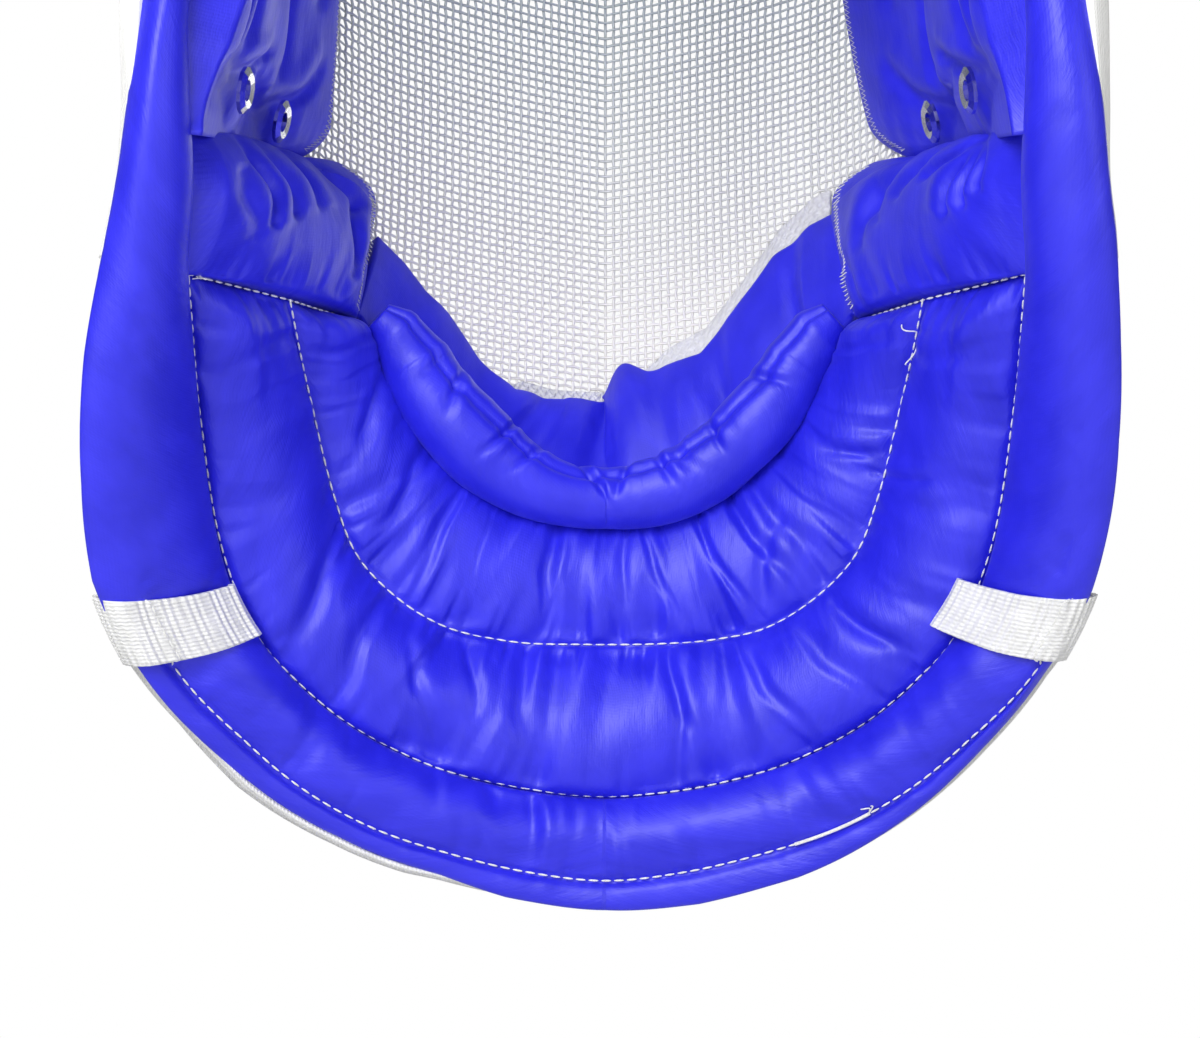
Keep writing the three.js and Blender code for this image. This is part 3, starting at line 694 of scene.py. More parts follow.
def tree_nodes(tree, *kinds):
    return [tree.nodes.new("GeometryNode" + kind) for kind in kinds]


def chain(tree, start, *nodes):
    """Links the first output of each node to the first input of the next."""
    link = start
    for node in nodes[:-1]:
        tree.links.new(link, node.inputs[0])
        link = node.outputs[0]
    tree.links.new(link, nodes[-1].inputs[0])


def thread_tree():
    """A round thread along each line of edges. Inputs: Radius, Sides and Material."""
    inputs = [("Radius", "NodeSocketFloat"), ("Sides", "NodeSocketInt"), ("Material", "NodeSocketMaterial")]
    tree, source, out = new_tree("Thread along lines", inputs)
    line, ring, sweep, real, finish = tree_nodes(
        tree, "MeshToCurve", "CurvePrimitiveCircle", "CurveToMesh", "RealizeInstances", "SetMaterial"
    )
    tree.links.new(source.outputs["Radius"], ring.inputs["Radius"])
    tree.links.new(source.outputs["Sides"], ring.inputs["Resolution"])
    tree.links.new(ring.outputs[0], sweep.inputs["Profile Curve"])
    sweep.inputs["Fill Caps"].default_value = True
    tree.links.new(source.outputs["Material"], finish.inputs["Material"])
    chain(tree, source.outputs["Geometry"], line, sweep, real, finish, out)
    return tree


def stitch_tree():
    """Rounded stitches along each line. Inputs: Pitch, Length, Radius and Material."""
    names = ["Pitch", "Length", "Radius"]
    inputs = [(name, "NodeSocketFloat") for name in names] + [("Material", "NodeSocketMaterial")]
    tree, source, out = new_tree("Stitches along lines", inputs)
    line, spots, bead = tree_nodes(tree, "MeshToCurve", "CurveToPoints", "MeshUVSphere")
    place, real, finish = tree_nodes(tree, "InstanceOnPoints", "RealizeInstances", "SetMaterial")
    spots.mode = "LENGTH"
    for label, value in (("Segments", 6), ("Rings", 5), ("Radius", 1.0)):
        bead.inputs[label].default_value = value
    scale = tree.nodes.new("ShaderNodeCombineXYZ")
    half = tree.nodes.new("ShaderNodeMath")
    half.operation = "MULTIPLY"
    half.inputs[1].default_value = 0.5
    tree.links.new(source.outputs["Pitch"], spots.inputs["Length"])
    tree.links.new(source.outputs["Length"], half.inputs[0])
    tree.links.new(source.outputs["Radius"], scale.inputs["X"])
    tree.links.new(source.outputs["Radius"], scale.inputs["Y"])
    tree.links.new(half.outputs[0], scale.inputs["Z"])
    tree.links.new(bead.outputs["Mesh"], place.inputs["Instance"])
    tree.links.new(spots.outputs["Rotation"], place.inputs["Rotation"])
    tree.links.new(scale.outputs[0], place.inputs["Scale"])
    tree.links.new(source.outputs["Material"], finish.inputs["Material"])
    chain(tree, source.outputs["Geometry"], line, spots, place, real, finish, out)
    return tree


def lines_object(name, lines, closed=()):
    """An object of edges only, one run of edges for each line of points."""
    points, edges, start = [], [], 0
    for k, line in enumerate(lines):
        count = len(line)
        points.append(in_frame(line))
        edges += [(start + i, start + i + 1) for i in range(count - 1)]
        if k in closed:
            edges.append((start + count - 1, start))
        start += count
    mesh = bpy.data.meshes.new(name)
    mesh.from_pydata(np.concatenate(points).tolist(), edges, [])
    return placed(name, mesh)


def grown(name, lines, tree, values, closed=()):
    """The plain mesh that a tree makes of lines."""
    source = lines_object(name + "_lines", lines, closed)
    modifier = source.modifiers.new("grow", "NODES")
    modifier.node_group = tree
    for item in tree.interface.items_tree:
        if item.in_out == "INPUT" and item.name in values:
            modifier[item.identifier] = values[item.name]
    depsgraph = bpy.context.evaluated_depsgraph_get()
    mesh = bpy.data.meshes.new_from_object(source.evaluated_get(depsgraph))
    mesh.name = name
    bpy.data.objects.remove(source)
    mesh.polygons.foreach_set("use_smooth", np.ones(len(mesh.polygons), bool))
    return placed(name, mesh)


def settle(piece, nodes=()):
    """Rides a finished piece on the root body and hides the nodes it stands for."""
    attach(piece, "root")
    if nodes:
        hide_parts(*nodes)
    return piece


# Materials


def made_once(make):
    """Makes a material when it is first asked for and gives the same one after that."""
    return lambda: bpy.data.materials.get(make.__name__) or make()


def shader(name, colour, roughness, metallic=0.0):
    material = bpy.data.materials.new(name)
    material.use_nodes = True
    node = material.node_tree.nodes["Principled BSDF"]
    node.inputs["Base Color"].default_value = (*colour, 1)
    node.inputs["Roughness"].default_value = roughness
    node.inputs["Metallic"].default_value = metallic
    return material, node


def add(material, kind, **values):
    node = material.node_tree.nodes.new(kind)
    for key, value in values.items():
        label = key.replace("_", " ")
        if label in node.inputs:
            node.inputs[label].default_value = value
        else:
            setattr(node, key, value)
    return node


def wire(material, out, into):
    material.node_tree.links.new(out, into)


def two_colours(material, node, noise, low, high, start=0.35, end=0.65):
    ramp = add(material, "ShaderNodeValToRGB")
    ramp.color_ramp.elements[0].position = start
    ramp.color_ramp.elements[1].position = end
    ramp.color_ramp.elements[0].color = (*low, 1)
    ramp.color_ramp.elements[1].color = (*high, 1)
    wire(material, noise.outputs["Fac"], ramp.inputs["Fac"])
    wire(material, ramp.outputs["Color"], node.inputs["Base Color"])
    return ramp


def raise_surface(material, node, heights):
    """Adds a bump for each height output with its strength and distance."""
    normal = None
    for out, strength, distance in heights:
        bumped = add(material, "ShaderNodeBump", Strength=strength, Distance=distance)
        wire(material, out, bumped.inputs["Height"])
        if normal:
            wire(material, normal, bumped.inputs["Normal"])
        normal = bumped.outputs["Normal"]
    wire(material, normal, node.inputs["Normal"])


def cloth_texture(material, kind, scale=(1, 1, 1), **values):
    """A texture on the cloth's own distances."""
    texture = add(material, "ShaderNodeTex" + kind, **values)
    where = add(material, "ShaderNodeUVMap", uv_map="cloth")
    mapping = add(material, "ShaderNodeMapping")
    mapping.inputs["Scale"].default_value = scale
    wire(material, where.outputs[0], mapping.inputs["Vector"])
    wire(material, mapping.outputs[0], texture.inputs["Vector"])
    return texture


def solid_noise(material, **values):
    """Noise in the piece's own space, and that space's vector."""
    where = add(material, "ShaderNodeTexCoord").outputs["Object"]
    texture = add(material, "ShaderNodeTexNoise", **values)
    wire(material, where, texture.inputs["Vector"])
    return texture, where


@made_once
def satin_nylon():
    material, node = shader("satin_nylon", colours().nylon, 0.46)
    node.inputs["Specular IOR Level"].default_value = 0.6
    node.inputs["Sheen Weight"].default_value = 0.07
    node.inputs["Sheen Roughness"].default_value = 0.4
    node.inputs["Sheen Tint"].default_value = (0.6, 0.6, 1.0, 1)
    patches = cloth_texture(material, "Noise", Scale=60.0, Detail=3.0)
    two_colours(material, node, patches, tuple(colours().nylon), tuple(colours().nylon_light))
    warp = cloth_texture(material, "Wave", Scale=380.0, Distortion=1.2, Detail=1.0)
    weft = cloth_texture(material, "Wave", Scale=300.0, Distortion=1.2, Detail=1.0, bands_direction="Y")
    crumple = cloth_texture(material, "Noise", (1.6, 0.5, 1), Scale=210.0, Detail=4.0, Roughness=0.6)
    raise_surface(
        material,
        node,
        [
            (crumple.outputs["Fac"], 0.35, 0.0006),
            (warp.outputs["Fac"], 0.10, 0.00012),
            (weft.outputs["Fac"], 0.10, 0.00012),
        ],
    )
    return material


@made_once
def heavy_cloth():
    material, node = shader("heavy_cloth", colours().cloth, 0.85)
    node.inputs["Sheen Weight"].default_value = 0.2
    patches = cloth_texture(material, "Noise", Scale=25.0, Detail=4.0)
    low = tuple(0.93 * value for value in colours().cloth)
    two_colours(material, node, patches, low, tuple(colours().cloth))
    weave = [
        cloth_texture(material, "Wave", Scale=260.0, Distortion=0.6, bands_direction=side) for side in "XY"
    ]
    wrinkle = cloth_texture(material, "Noise", Scale=30.0, Detail=5.0, Roughness=0.55)
    raise_surface(
        material,
        node,
        [
            (wrinkle.outputs["Fac"], 0.4, 0.002),
            (weave[0].outputs["Fac"], 0.25, 0.0003),
            (weave[1].outputs["Fac"], 0.25, 0.0003),
        ],
    )
    return material


@made_once
def ribbed_webbing():
    material, node = shader("ribbed_webbing", colours().webbing, 0.8)
    patches = cloth_texture(material, "Noise", Scale=90.0, Detail=3.0)
    low = tuple(0.86 * value for value in colours().webbing)
    two_colours(material, node, patches, low, tuple(colours().webbing))
    rib = cloth_texture(material, "Wave", Scale=110.0, Distortion=0.4, bands_direction="Y")
    yarn = cloth_texture(material, "Wave", Scale=230.0, Distortion=1.5, bands_direction="X")
    raise_surface(material, node, [(rib.outputs["Fac"], 0.6, 0.0006), (yarn.outputs["Fac"], 0.4, 0.0004)])
    return material


@made_once
def cage_steel():
    material, node = shader("cage_steel", colours().wire, 0.5, 0.15)
    spots, where = solid_noise(material, Scale=700.0, Detail=3.0)
    # Base colour fades with height from the light chin colour to the darker brow colour: painted light at the
    # chin, painted shade at the brow
    split = add(material, "ShaderNodeSeparateXYZ")
    wire(material, where, split.inputs[0])
    high = add(material, "ShaderNodeMapRange")
    high.inputs["From Min"].default_value = -0.2
    high.inputs["From Max"].default_value = -0.07
    wire(material, split.outputs["Z"], high.inputs["Value"])
    shade = add(material, "ShaderNodeValToRGB")
    shade.color_ramp.elements[0].color = (*colours().wire, 1)
    shade.color_ramp.elements[1].color = (*colours().wire_brow, 1)
    wire(material, high.outputs[0], shade.inputs["Fac"])
    wire(material, shade.outputs["Color"], node.inputs["Base Color"])
    raise_surface(material, node, [(spots.outputs["Fac"], 0.2, 0.0001)])
    return material


@made_once
def snap_steel():
    material, node = shader("snap_steel", (0.62, 0.6, 0.58), 0.28, 1.0)
    scratches, _ = solid_noise(material, Scale=900.0, Detail=4.0)
    raise_surface(material, node, [(scratches.outputs["Fac"], 0.15, 0.0001)])
    return material


@made_once
def sewing_thread():
    material, node = shader("sewing_thread", colours().thread, 0.75)
    twist, _ = solid_noise(material, Scale=1500.0, Detail=2.0)
    low = tuple(0.8 * value for value in colours().thread)
    two_colours(material, node, twist, low, tuple(colours().thread))
    return material


# Shapes of the main pieces


def lining_heights(points, along, down):
    """Height of the quilted lining over its sewn surface."""
    puff = sizes().channel_puff / MM
    inner = down / INNER_SEAM_AT
    outer = (down - INNER_SEAM_AT) / (OUTER_SEAM_AT - INNER_SEAM_AT)
    first = down < INNER_SEAM_AT
    share = np.where(first, inner, outer)
    width = np.where(first, 44.0, 50.0)
    run = along * BIB_RUN
    full = puff * np.where(first, 0.9, 1.0) * bump(share, 0.5)
    end_gap = (1 - np.abs(along)) * BIB_RUN
    ends = 1 - nearness(end_gap, 6.0)
    low_gap = share * width
    high_gap = (1 - share) * width
    calm = 0.45 + 0.55 * np.exp(-((run / 120) ** 4))
    above = np.where(first, gathers(run, low_gap, 23, 9, 0.85), gathers(run, low_gap, 41, 10, 1.05))
    below = np.where(first, gathers(run, high_gap, 11, 9, 0.95), gathers(run, high_gap, 37, 11, 1.15))
    sway = run + 6 * smooth_noise(share * 40, 17, 3)
    streaks = np.clip(smooth_noise(sway, 7.5, 7), 0, None) ** 1.3 * -3.0 * bump(share, 0.7)
    streaks += 0.9 * smooth_noise(run, 23, 8) * bump(share, 0.6)
    side_folds = gathers(share * width + 60 * first, end_gap, 53, 11, 0.9)
    height = full * np.sqrt(ends) + (above + below + streaks) * calm * ends + side_folds * bump(share, 0.4)
    height = height + crease_depth(points[..., (0, 2)], CREASE_ROWS) * np.minimum(1, full / 4)
    return np.maximum(height, -0.8)


def quilted_lining():
    along = np.linspace(-1, 1, 464)[:, None]
    down = np.linspace(0, OUTER_SEAM_AT, 102)[None]
    base = bib(along, down)
    out = normals_of(base, THROAT_CENTRE)
    height = lining_heights(base, along + 0 * down, down + 0 * along)
    front = base - out * (0.6 + height)[..., None]
    back = base + out * (SHELL_OFFSET - 0.4)
    return sheet_piece("quilted_lining", front, back, satin_nylon())


def hem_seam_share(place):
    """Where the edge stitching lies between the roll's centre line and its outer side."""
    return np.interp(np.abs(place), [0, 5, 7], [0.5, 0.52, 0.68])


def hemmed_share(place):
    """One where the roll is the bib's sewn margin, nought where it is the round rim."""
    return np.clip((7.5 - np.abs(place)) / 1.4, 0, 1)[:, None]


def signed_stations(stations):
    """Station numbers with the left half counted backwards from the middle below."""
    return np.where(stations > LOOP_COUNT / 2, stations - LOOP_COUNT, stations)


def roll_front(frames, place, share):
    """Height of the roll's wearer side; share runs from -1 at the crease to 1 outside."""
    hemmed = hemmed_share(place)
    seam = hem_seam_share(place)[:, None]
    press = 1 - 0.32 * nearness(np.abs(place) - TAB_STATION, 0.55)[:, None]
    deep = frames["ahead"][:, None] * press
    rounded = deep * (1 - np.abs(share) ** 2.2).clip(0) ** 0.55
    inner = bump((share + 1) / (seam + 1), 0.52) * deep * 1.02
    margin = 3.0 * (1 - ((share - seam) / (1 - seam)).clip(0, 1) ** 3) ** 0.5
    margin = margin * (1 - 0.75 * nearness((share - seam) * 18, 1.7))
    sewn = np.where(share < seam, inner + 0.5, margin + 0.2)
    blend = hemmed * hemmed * (3 - 2 * hemmed)
    return rounded * (1 - blend) + sewn * blend


def rim_roll():
    count = 840
    stations = np.arange(count) / count * LOOP_COUNT
    frames = roll_frames(stations)
    front_share = -np.cos(np.linspace(0, math.pi, 46))[None]
    back_share = -np.cos(np.linspace(math.pi, 0, 12))[None][:, 1:-1]
    place = signed_stations(stations)
    height = roll_front(frames, place, front_share)
    run = (place * STATION_RUN)[:, None]
    half = frames["half"][:, None]
    seam = hem_seam_share(place)[:, None]
    gap_in = (front_share + 1) * half
    gap_seam = np.abs(front_share - seam) * half
    away = np.abs(place)[:, None]
    soft = np.clip(1.15 - away / 9, 0.16, 1) * np.clip(1.4 - away / 15, 0, 1)
    inside = front_share < seam
    folds = gathers(run, gap_in, 61, 9, 0.95)
    folds += np.where(inside, gathers(run, gap_seam, 67, 9, 1.0), 0.35 * gathers(run, gap_seam, 69, 6, 0.8))
    waves = 0.8 * smooth_noise(run + 0 * front_share, 19, 71) * bump((front_share + 1) / 2, 0.7)
    round_off = bump(0.02 + 0.96 * (front_share + 1) / 2, 0.35)
    height = height + (folds + waves) * soft * round_off
    behind = -frames["behind"][:, None] * np.sqrt((1 - back_share**2).clip(0))
    hemmed = hemmed_share(place)
    begin = seam * hemmed
    both = np.concatenate([front_share + 0 * half, back_share + 0 * half], 1)
    edge_share = ((both - begin) / (1 - begin)).clip(0, 1) ** (1.4 - 0.2 * hemmed)
    sideways = both * half + roll_edge(place)[:, None] * edge_share
    rings = roll_points(frames, sideways, np.concatenate([height, behind], 1))
    return ring_piece("rim_roll_cloth", rings, satin_nylon())


def fold_height(across):
    """Height of the fold between the two pads of a side."""
    return FOLD_FRONT + (FOLD_REAR - FOLD_FRONT) * (across - JAW_FRONT) / (PAD_REAR - JAW_FRONT)


def temple(along, down):
    across = PAD_FRONT + (PAD_REAR - PAD_FRONT) * along
    fold = row_at_height(across, fold_height(across) - 7 * ((along - 0.5) / 0.5).clip(0, 1))
    return cage(across, PAD_TOP_ROW + (fold - PAD_TOP_ROW) * down)


def cheek(along, down):
    where = THROAT_SHARE + (1.0 - THROAT_SHARE) * along
    across = jaw_across(where)
    foot = jaw_foot(where)
    edge = edge_height(across)
    top = fold_height(across)
    height = top + (foot[..., 2] - top) * down
    on_cage = cage(across, row_at_height(across, np.maximum(height, edge)))
    below = jaw(where, ((edge - height) / (edge - foot[..., 2])).clip(0, 1))
    return np.where((height > edge)[..., None], on_cage, below)


def smooth_grid(points, times):
    for _ in range(times):
        inner = points[1:-1, 1:-1] * 4 + points[:-2, 1:-1] + points[2:, 1:-1]
        points[1:-1, 1:-1] = (inner + points[1:-1, :-2] + points[1:-1, 2:]) / 8
    return points


def pad_piece(name, surface, side, start, height_at):
    """A side pad: its free edge is at start(side, down), and its rear tucks under the rim roll."""
    along = np.linspace(0, 1, PAD_ROWS)[:, None] + np.zeros((1, PAD_COLUMNS))
    down = np.linspace(0, 1, PAD_COLUMNS)[None] + np.zeros((PAD_ROWS, 1))
    begin = start(side, down)
    along = begin + (1 - begin) * along
    base = smooth_grid(surface(along, down) * (side, 1, 1), 6)
    out = normals_of(base, HEAD_CENTRE)
    height = np.maximum(height_at(along, down), 0.5)
    free = (along - begin) / (1 - begin)
    height = 1.4 + (height - 1.4) * (1 - (1 - (free / 0.24).clip(0, 1)) ** 2) ** 0.6
    front = base - out * (0.8 + height)[..., None]
    back = base - out * 0.6
    roll = roll_frames(np.linspace(LOWER_STATIONS, STATION_COUNT - 1, 160))
    centres = roll["centre"] * (side, 1, 1)
    inward = roll["depth"] * (side, 1, 1)
    nearest = np.linalg.norm(base[-1][:, None] - centres[None], axis=-1).argmin(1)
    target = centres[nearest]
    share = (np.arange(1, TUCK_ROWS + 1) / TUCK_ROWS)[:, None, None]
    tuck_front = front[-1] * (1 - share) + (target + inward[nearest] * 1.5) * share
    tuck_back = back[-1] * (1 - share) + (target - inward[nearest] * 1.0) * share
    front = np.concatenate([front, tuck_front])
    back = np.concatenate([back, tuck_back])
    return sheet_piece(name, front, back, satin_nylon())


def temple_start(side, down):
    """Where the temple pad's free edge lies, as a share of its length."""
    corner = 0.02 + 0.13 * ((down - 0.84) / 0.16).clip(0, 1) ** 2
    return corner - (0.14 if side > 0 else 0.0) * (1 - ((down - 0.35) / 0.65).clip(0, 1) ** 1.6)


def temple_pad(word, side):
    rear = 0.5 if side > 0 else 0.85

    def height_at(along, down):
        profile = bump(0.06 + 0.94 * down, 0.4 + 0.45 * along.clip(0, 1) ** 2)
        profile = profile * (1 - (1 - rear) * along.clip(0, 1) ** 6)
        height = 1.2 + 12.5 * profile
        place = np.stack([along, down], -1) * TEMPLE_SPAN
        height = height + 1.3 * crease_depth(place, TEMPLE_CREASES) * bump(down.clip(0.02, 0.98), 0.3)
        for x, y in SNAP_PLACES:
            reach = (((along - x) * TEMPLE_SPAN[0]) ** 2 + ((down - y) * TEMPLE_SPAN[1]) ** 2) ** 0.5
            height = height - 5.5 * nearness(reach, 10) - 2.0 * nearness(reach, 24)
        height = height + gathers(along * 140, (1 - down) * 95, 107, 12, 0.6) * bump(down, 0.3)
        height = height + 1.3 * smooth_noise(along * 140 + 12 * smooth_noise(down * 120, 30, 5), 21, 109)
        return height

    return pad_piece(f"temple_cloth_{word}", temple, side, temple_start, height_at)


def cheek_start(side, down):
    """Where the cheek pad's free edge lies, as a share of its length."""
    return 0.02 + 0.12 * ((0.22 - down) / 0.22).clip(0, 1) ** 2 - 0.01 * side * bump(down, 1)


def cheek_pad(word, side):
    rear = 0.45 if side > 0 else 0.8
    creases = CHEEK_CREASES_RIGHT if side > 0 else CHEEK_CREASES_LEFT

    def height_at(along, down):
        profile = bump(0.02 + 0.96 * down, 0.4 + 0.45 * along.clip(0, 1) ** 2 * (1 - down))
        profile = profile * (1 - (1 - rear) * along.clip(0, 1) ** 8)
        height = 1.0 + 12.5 * profile
        place = np.stack([along, down], -1) * CHEEK_SPAN
        height = height + 1.3 * crease_depth(place, creases) * bump(down.clip(0.02, 0.98), 0.3)
        height = height + gathers(along * 120, (1 - down) * 75, 111, 9, 0.7) * bump(down, 0.3)
        height = height + 0.9 * smooth_noise(along * 90 + down * 45, 24, 119) * profile
        return height

    return pad_piece(f"cheek_cloth_{word}", cheek, side, cheek_start, height_at)


def chin_roll_line(share):
    size = np.abs(share)
    step = 0.01
    radius = read_rows(CHIN_ROLL_ROWS, size)
    rail = NECK(size)
    lean = []
    for surface, place, scale in ((bib, 0.03, 1.0), (jaw, 0.95, THROAT_SHARE)):
        across = surface((size + step).clip(0, 1) * scale, place) - surface((size - step) * scale, place)
        drop = surface(size * scale, place + 0.02) - surface(size * scale, place - 0.02)
        normal = unit(np.cross(across, drop))
        away = np.sum(normal * (rail - THROAT_CENTRE), -1, keepdims=True) < 0
        lean.append(np.where(away, -normal, normal))
    both = lean[0] + lean[1]
    spread = np.linalg.norm(both, axis=-1, keepdims=True) / 2
    centre = rail - both / (2 * spread) * (radius[..., None] + 3.2) / spread
    return signed(centre, share), radius


def chin_roll():
    share = np.linspace(-0.985, 0.985, 320)
    centre, radius = chin_roll_line(share)
    fuller = 1 + 0.22 * nearness(share + 0.52, 0.28) + 0.12 * nearness(share - 0.35, 0.3)
    tangent = unit(np.gradient(centre, axis=0))
    up = unit(np.cross([0.0, 1.0, 0.0], tangent))
    side = np.cross(tangent, up)
    angle = np.linspace(0, 2 * math.pi, 64, endpoint=False)[None]
    run = (share * CHIN_HALF_LENGTH)[:, None]
    toward = -np.sign(up[len(up) // 2][2]) or 1
    upper = 0.5 - 0.5 * toward * np.cos(angle)
    size = (radius * fuller)[:, None] * (1 + 0.10 * upper)
    seam_angle = np.angle(np.exp(1j * (angle - CHIN_SEAM_ANGLE)))
    line = 0.16 + 0.06 * smooth_noise(run, 12, 137)
    size = size - 1.9 * nearness(seam_angle, line) * np.minimum(1, radius[:, None] / 8)
    small = np.clip(smooth_noise(run + 4 * np.sin(angle * 2), 11, 131), 0, None) ** 1.3
    size = size - 1.6 * small * nearness(seam_angle, 0.8) * np.minimum(1, radius[:, None] / 8)
    size = size + 0.8 * smooth_noise(run - 3 * np.sin(angle), 17, 133)
    for at, slope, reach, deep in CHIN_PINCHES:
        line = run - at * CHIN_HALF_LENGTH - slope * seam_angle * 10
        size = size - 0.6 * deep * nearness(line, 2.0) * np.exp(-((np.abs(seam_angle) / reach) ** 3))
        size = size + 0.3 * deep * nearness(line - 4, 3) * nearness(seam_angle, reach)
    rings = (
        centre[:, None]
        + up[:, None] * (size * np.cos(angle))[..., None]
        + side[:, None] * (size * np.sin(angle))[..., None]
    )
    return ring_piece("chin_roll_cloth", rings, satin_nylon(), closed=False)


def chin_lining():
    """Wrinkled lining between the chin roll and the cage, gathered into lobes."""
    along = np.linspace(-THROAT_SHARE * 1.02, THROAT_SHARE * 1.02, 280)[:, None]
    share = np.linspace(0, 1, 62)[None]
    place = jaw(along, 0.4)[..., 0]
    rise = sum(high * nearness(place - x, wide) for x, wide, high, deep in CHIN_LOBES)
    top = -0.03 - rise / 45.0
    down = top + (0.97 - top) * share
    base = smooth_grid(jaw(along, down), 10)
    out = normals_of(base, THROAT_CENTRE)
    run = along * 150
    wide = bump(0.08 + 0.9 * share, 0.5)
    lobes = sum(deep * np.exp(-((np.abs(place - x) / wide_) ** 2.6)) for x, wide_, high, deep in CHIN_LOBES)
    small = -2.4 * np.clip(smooth_noise(run + 9 * share, 7, 143), 0, None) ** 1.3
    height = 2.2 + (3.0 + lobes + small) * wide + 1.2 * smooth_noise(run - 14 * share, 11, 141) * wide
    front = base - out * (0.8 + np.maximum(height, 0.4))[..., None]
    back = base - out * 0.5
    return sheet_piece("chin_lining_cloth", front, back, satin_nylon())


def forehead_pad():
    rows, columns = 90, 60
    across = np.linspace(-0.34, 0.34, rows)[:, None]
    row = np.linspace(0.66, 0.93, columns)[None]
    base = cage(across, row)
    out = normals_of(base, HEAD_CENTRE)
    u = np.linspace(0, 1, rows)[:, None]
    v = np.linspace(0, 1, columns)[None]
    height = 2 + 9 * bump(u, 0.5) * bump(v, 0.5) + gathers(u * 130 + 0 * v, v * 80 + 0 * u, 151, 14, 1.0)
    front = base - out * (1.8 + height)[..., None]
    return sheet_piece("forehead_cloth", front, base - out * 1.6, satin_nylon())


def back_tongue():
    top = roll_frames(np.array([STATION_COUNT - 1.0]))
    start = roll_points(top, np.array([[0.0]]), np.array([[top["ahead"][0] + 5.2]]))[0, 0]
    u = np.linspace(-1, 1, 40)[:, None]
    angle = np.linspace(0, 1.35, 150)[None]

    def place(distance):
        y = start[1] - 52 * np.sin(angle) - distance * np.sin(angle)
        z = start[2] - 135 * (1 - np.cos(angle)) * 1.25 + distance * np.cos(angle)
        return np.stack([15 * u + 0 * angle, y + 0 * u, z + 0 * u], -1)

    swell = 0.8 * (1 - np.abs(u) ** 6) * (1 - 0.6 * nearness(np.abs(u) - 0.82, 0.05))
    return sheet_piece("tongue_cover", place(0.6 - swell), place(3.4 + swell), satin_nylon())


def white_shells():
    along = np.linspace(-0.99, 0.99, 150)[:, None]
    sewn_length = 150
    drawn_in = np.minimum(roll_edge(along * LOWER_STATIONS) - 1, 0) / sewn_length
    down = np.linspace(0.0, 1, 60)[None] * (0.985 - 0.06 * bump(np.abs(along) - 0.5, 0.5) + drawn_in)
    base = bib(along, down)
    out = normals_of(base, THROAT_CENTRE)
    soft = 0.6 * smooth_noise(along * BIB_RUN + 0 * down, 24, 161) * bump(down, 0.6)
    sunk = 1 - 0.7 * ((down - 0.78) / 0.15).clip(0, 1) * ((np.abs(along) - 0.45) / 0.15).clip(0, 1)
    face = base + out * (SHELL_OFFSET * sunk)[..., None]
    far = face + out * (SHELL_WALL * (0.3 + 0.7 * sunk) + soft.clip(-0.6, 0.6))[..., None]
    bib_side = sheet_piece("bib_shell_cloth", face, far, heavy_cloth())
    along = np.linspace(-0.985, 0.985, 170)[:, None]
    down = np.linspace(0.015, 0.955, 40)[None]
    base = smooth_grid(jaw(along, down + 0 * along), 4)
    out = normals_of(base, THROAT_CENTRE)
    inner = (1.0 + (SHELL_OFFSET - 1.0) * down)[..., None] + 0 * base[..., :1]
    face, far = base + out * inner, base + out * (inner + SHELL_WALL)
    jaw_side = sheet_piece("jaw_shell_cloth", face, far, heavy_cloth())
    return bib_side, jaw_side


def outer_band(name, stations, gap, wall, front, behind, material):
    """A soft flat band along the outside of the roll, with a gap and a wall at each station."""
    frames = roll_frames(stations % LOOP_COUNT)
    gap, wall = (np.broadcast_to(value, stations.shape)[:, None] for value in (gap, wall))
    angle = np.linspace(0, 2 * math.pi, 20, endpoint=False)[None]
    square = 0.45
    across = np.sign(np.cos(angle)) * np.abs(np.cos(angle)) ** square
    through = np.sign(np.sin(angle)) * np.abs(np.sin(angle)) ** square
    sideways = frames["half"][:, None] + gap + wall / 2 + wall / 2 * across
    deep = (front - behind) / 2 + (front + behind) / 2 * through + 0 * sideways
    return ring_piece(name, roll_points(frames, sideways, deep), material, closed=False)


def tab_frames(shift, sideways):
    """Frames along a tab, which leans up the rim from its inner to its outer end."""
    frame = roll_frames(np.array([TAB_STATION, TAB_STATION + 0.5]))
    length = 2 * np.linalg.norm(frame["centre"][1] - frame["centre"][0])
    return TAB_STATION + (shift + TAB_LEAN * sideways) / length


def webbing_tab(word, side):
    """Strap folded over the bib's margin, with ribs across it."""
    width = sizes().webbing_width / MM
    shifts = np.linspace(-0.5, 0.5, 32) * width
    half = roll_frames(np.array([TAB_STATION]))["half"][0]
    start, tighter = TAB_ENDS[word]
    grids = ([], [])
    for shift in shifts:
        edge = half + roll_edge(side * tab_frames(shift, half)) - tighter
        route = np.array(
            [
                (start - half - 0.4, 6.2),
                (start - half, 7.6),
                (start - half + 3.5, 8.3),
                (-0.35 * half, 9.1),
                (-0.05 * half, 9.4),
                (0.4 * edge, 7.8),
                (0.7 * edge, 6.0),
                (edge - 1.0, 4.6),
                (edge + 0.9, 2.2),
                (edge + 1.0, -3.6),
                (edge - 2.0, -7.4),
                (edge - 9, -8.0),
            ]
        )
        line = dense_curve(route, fine=14)
        run = unit(np.gradient(line, axis=0))
        across = np.stack([-run[:, 1], run[:, 0]], -1)
        rib = 0.17 * np.sin(run_lengths(line) * 2 * math.pi / 1.9)[:, None]
        for grid, path in zip(grids, (line + across * (1.7 + rib), line)):
            frames = roll_frames(tab_frames(shift, path[:, 0]))
            grid.append(roll_points(frames, path[:, :1], path[:, 1:])[:, 0])
    front, back = (np.stack(grid) * (side, 1, 1) for grid in grids)
    return sheet_piece(f"webbing_{word}", front, back, ribbed_webbing())


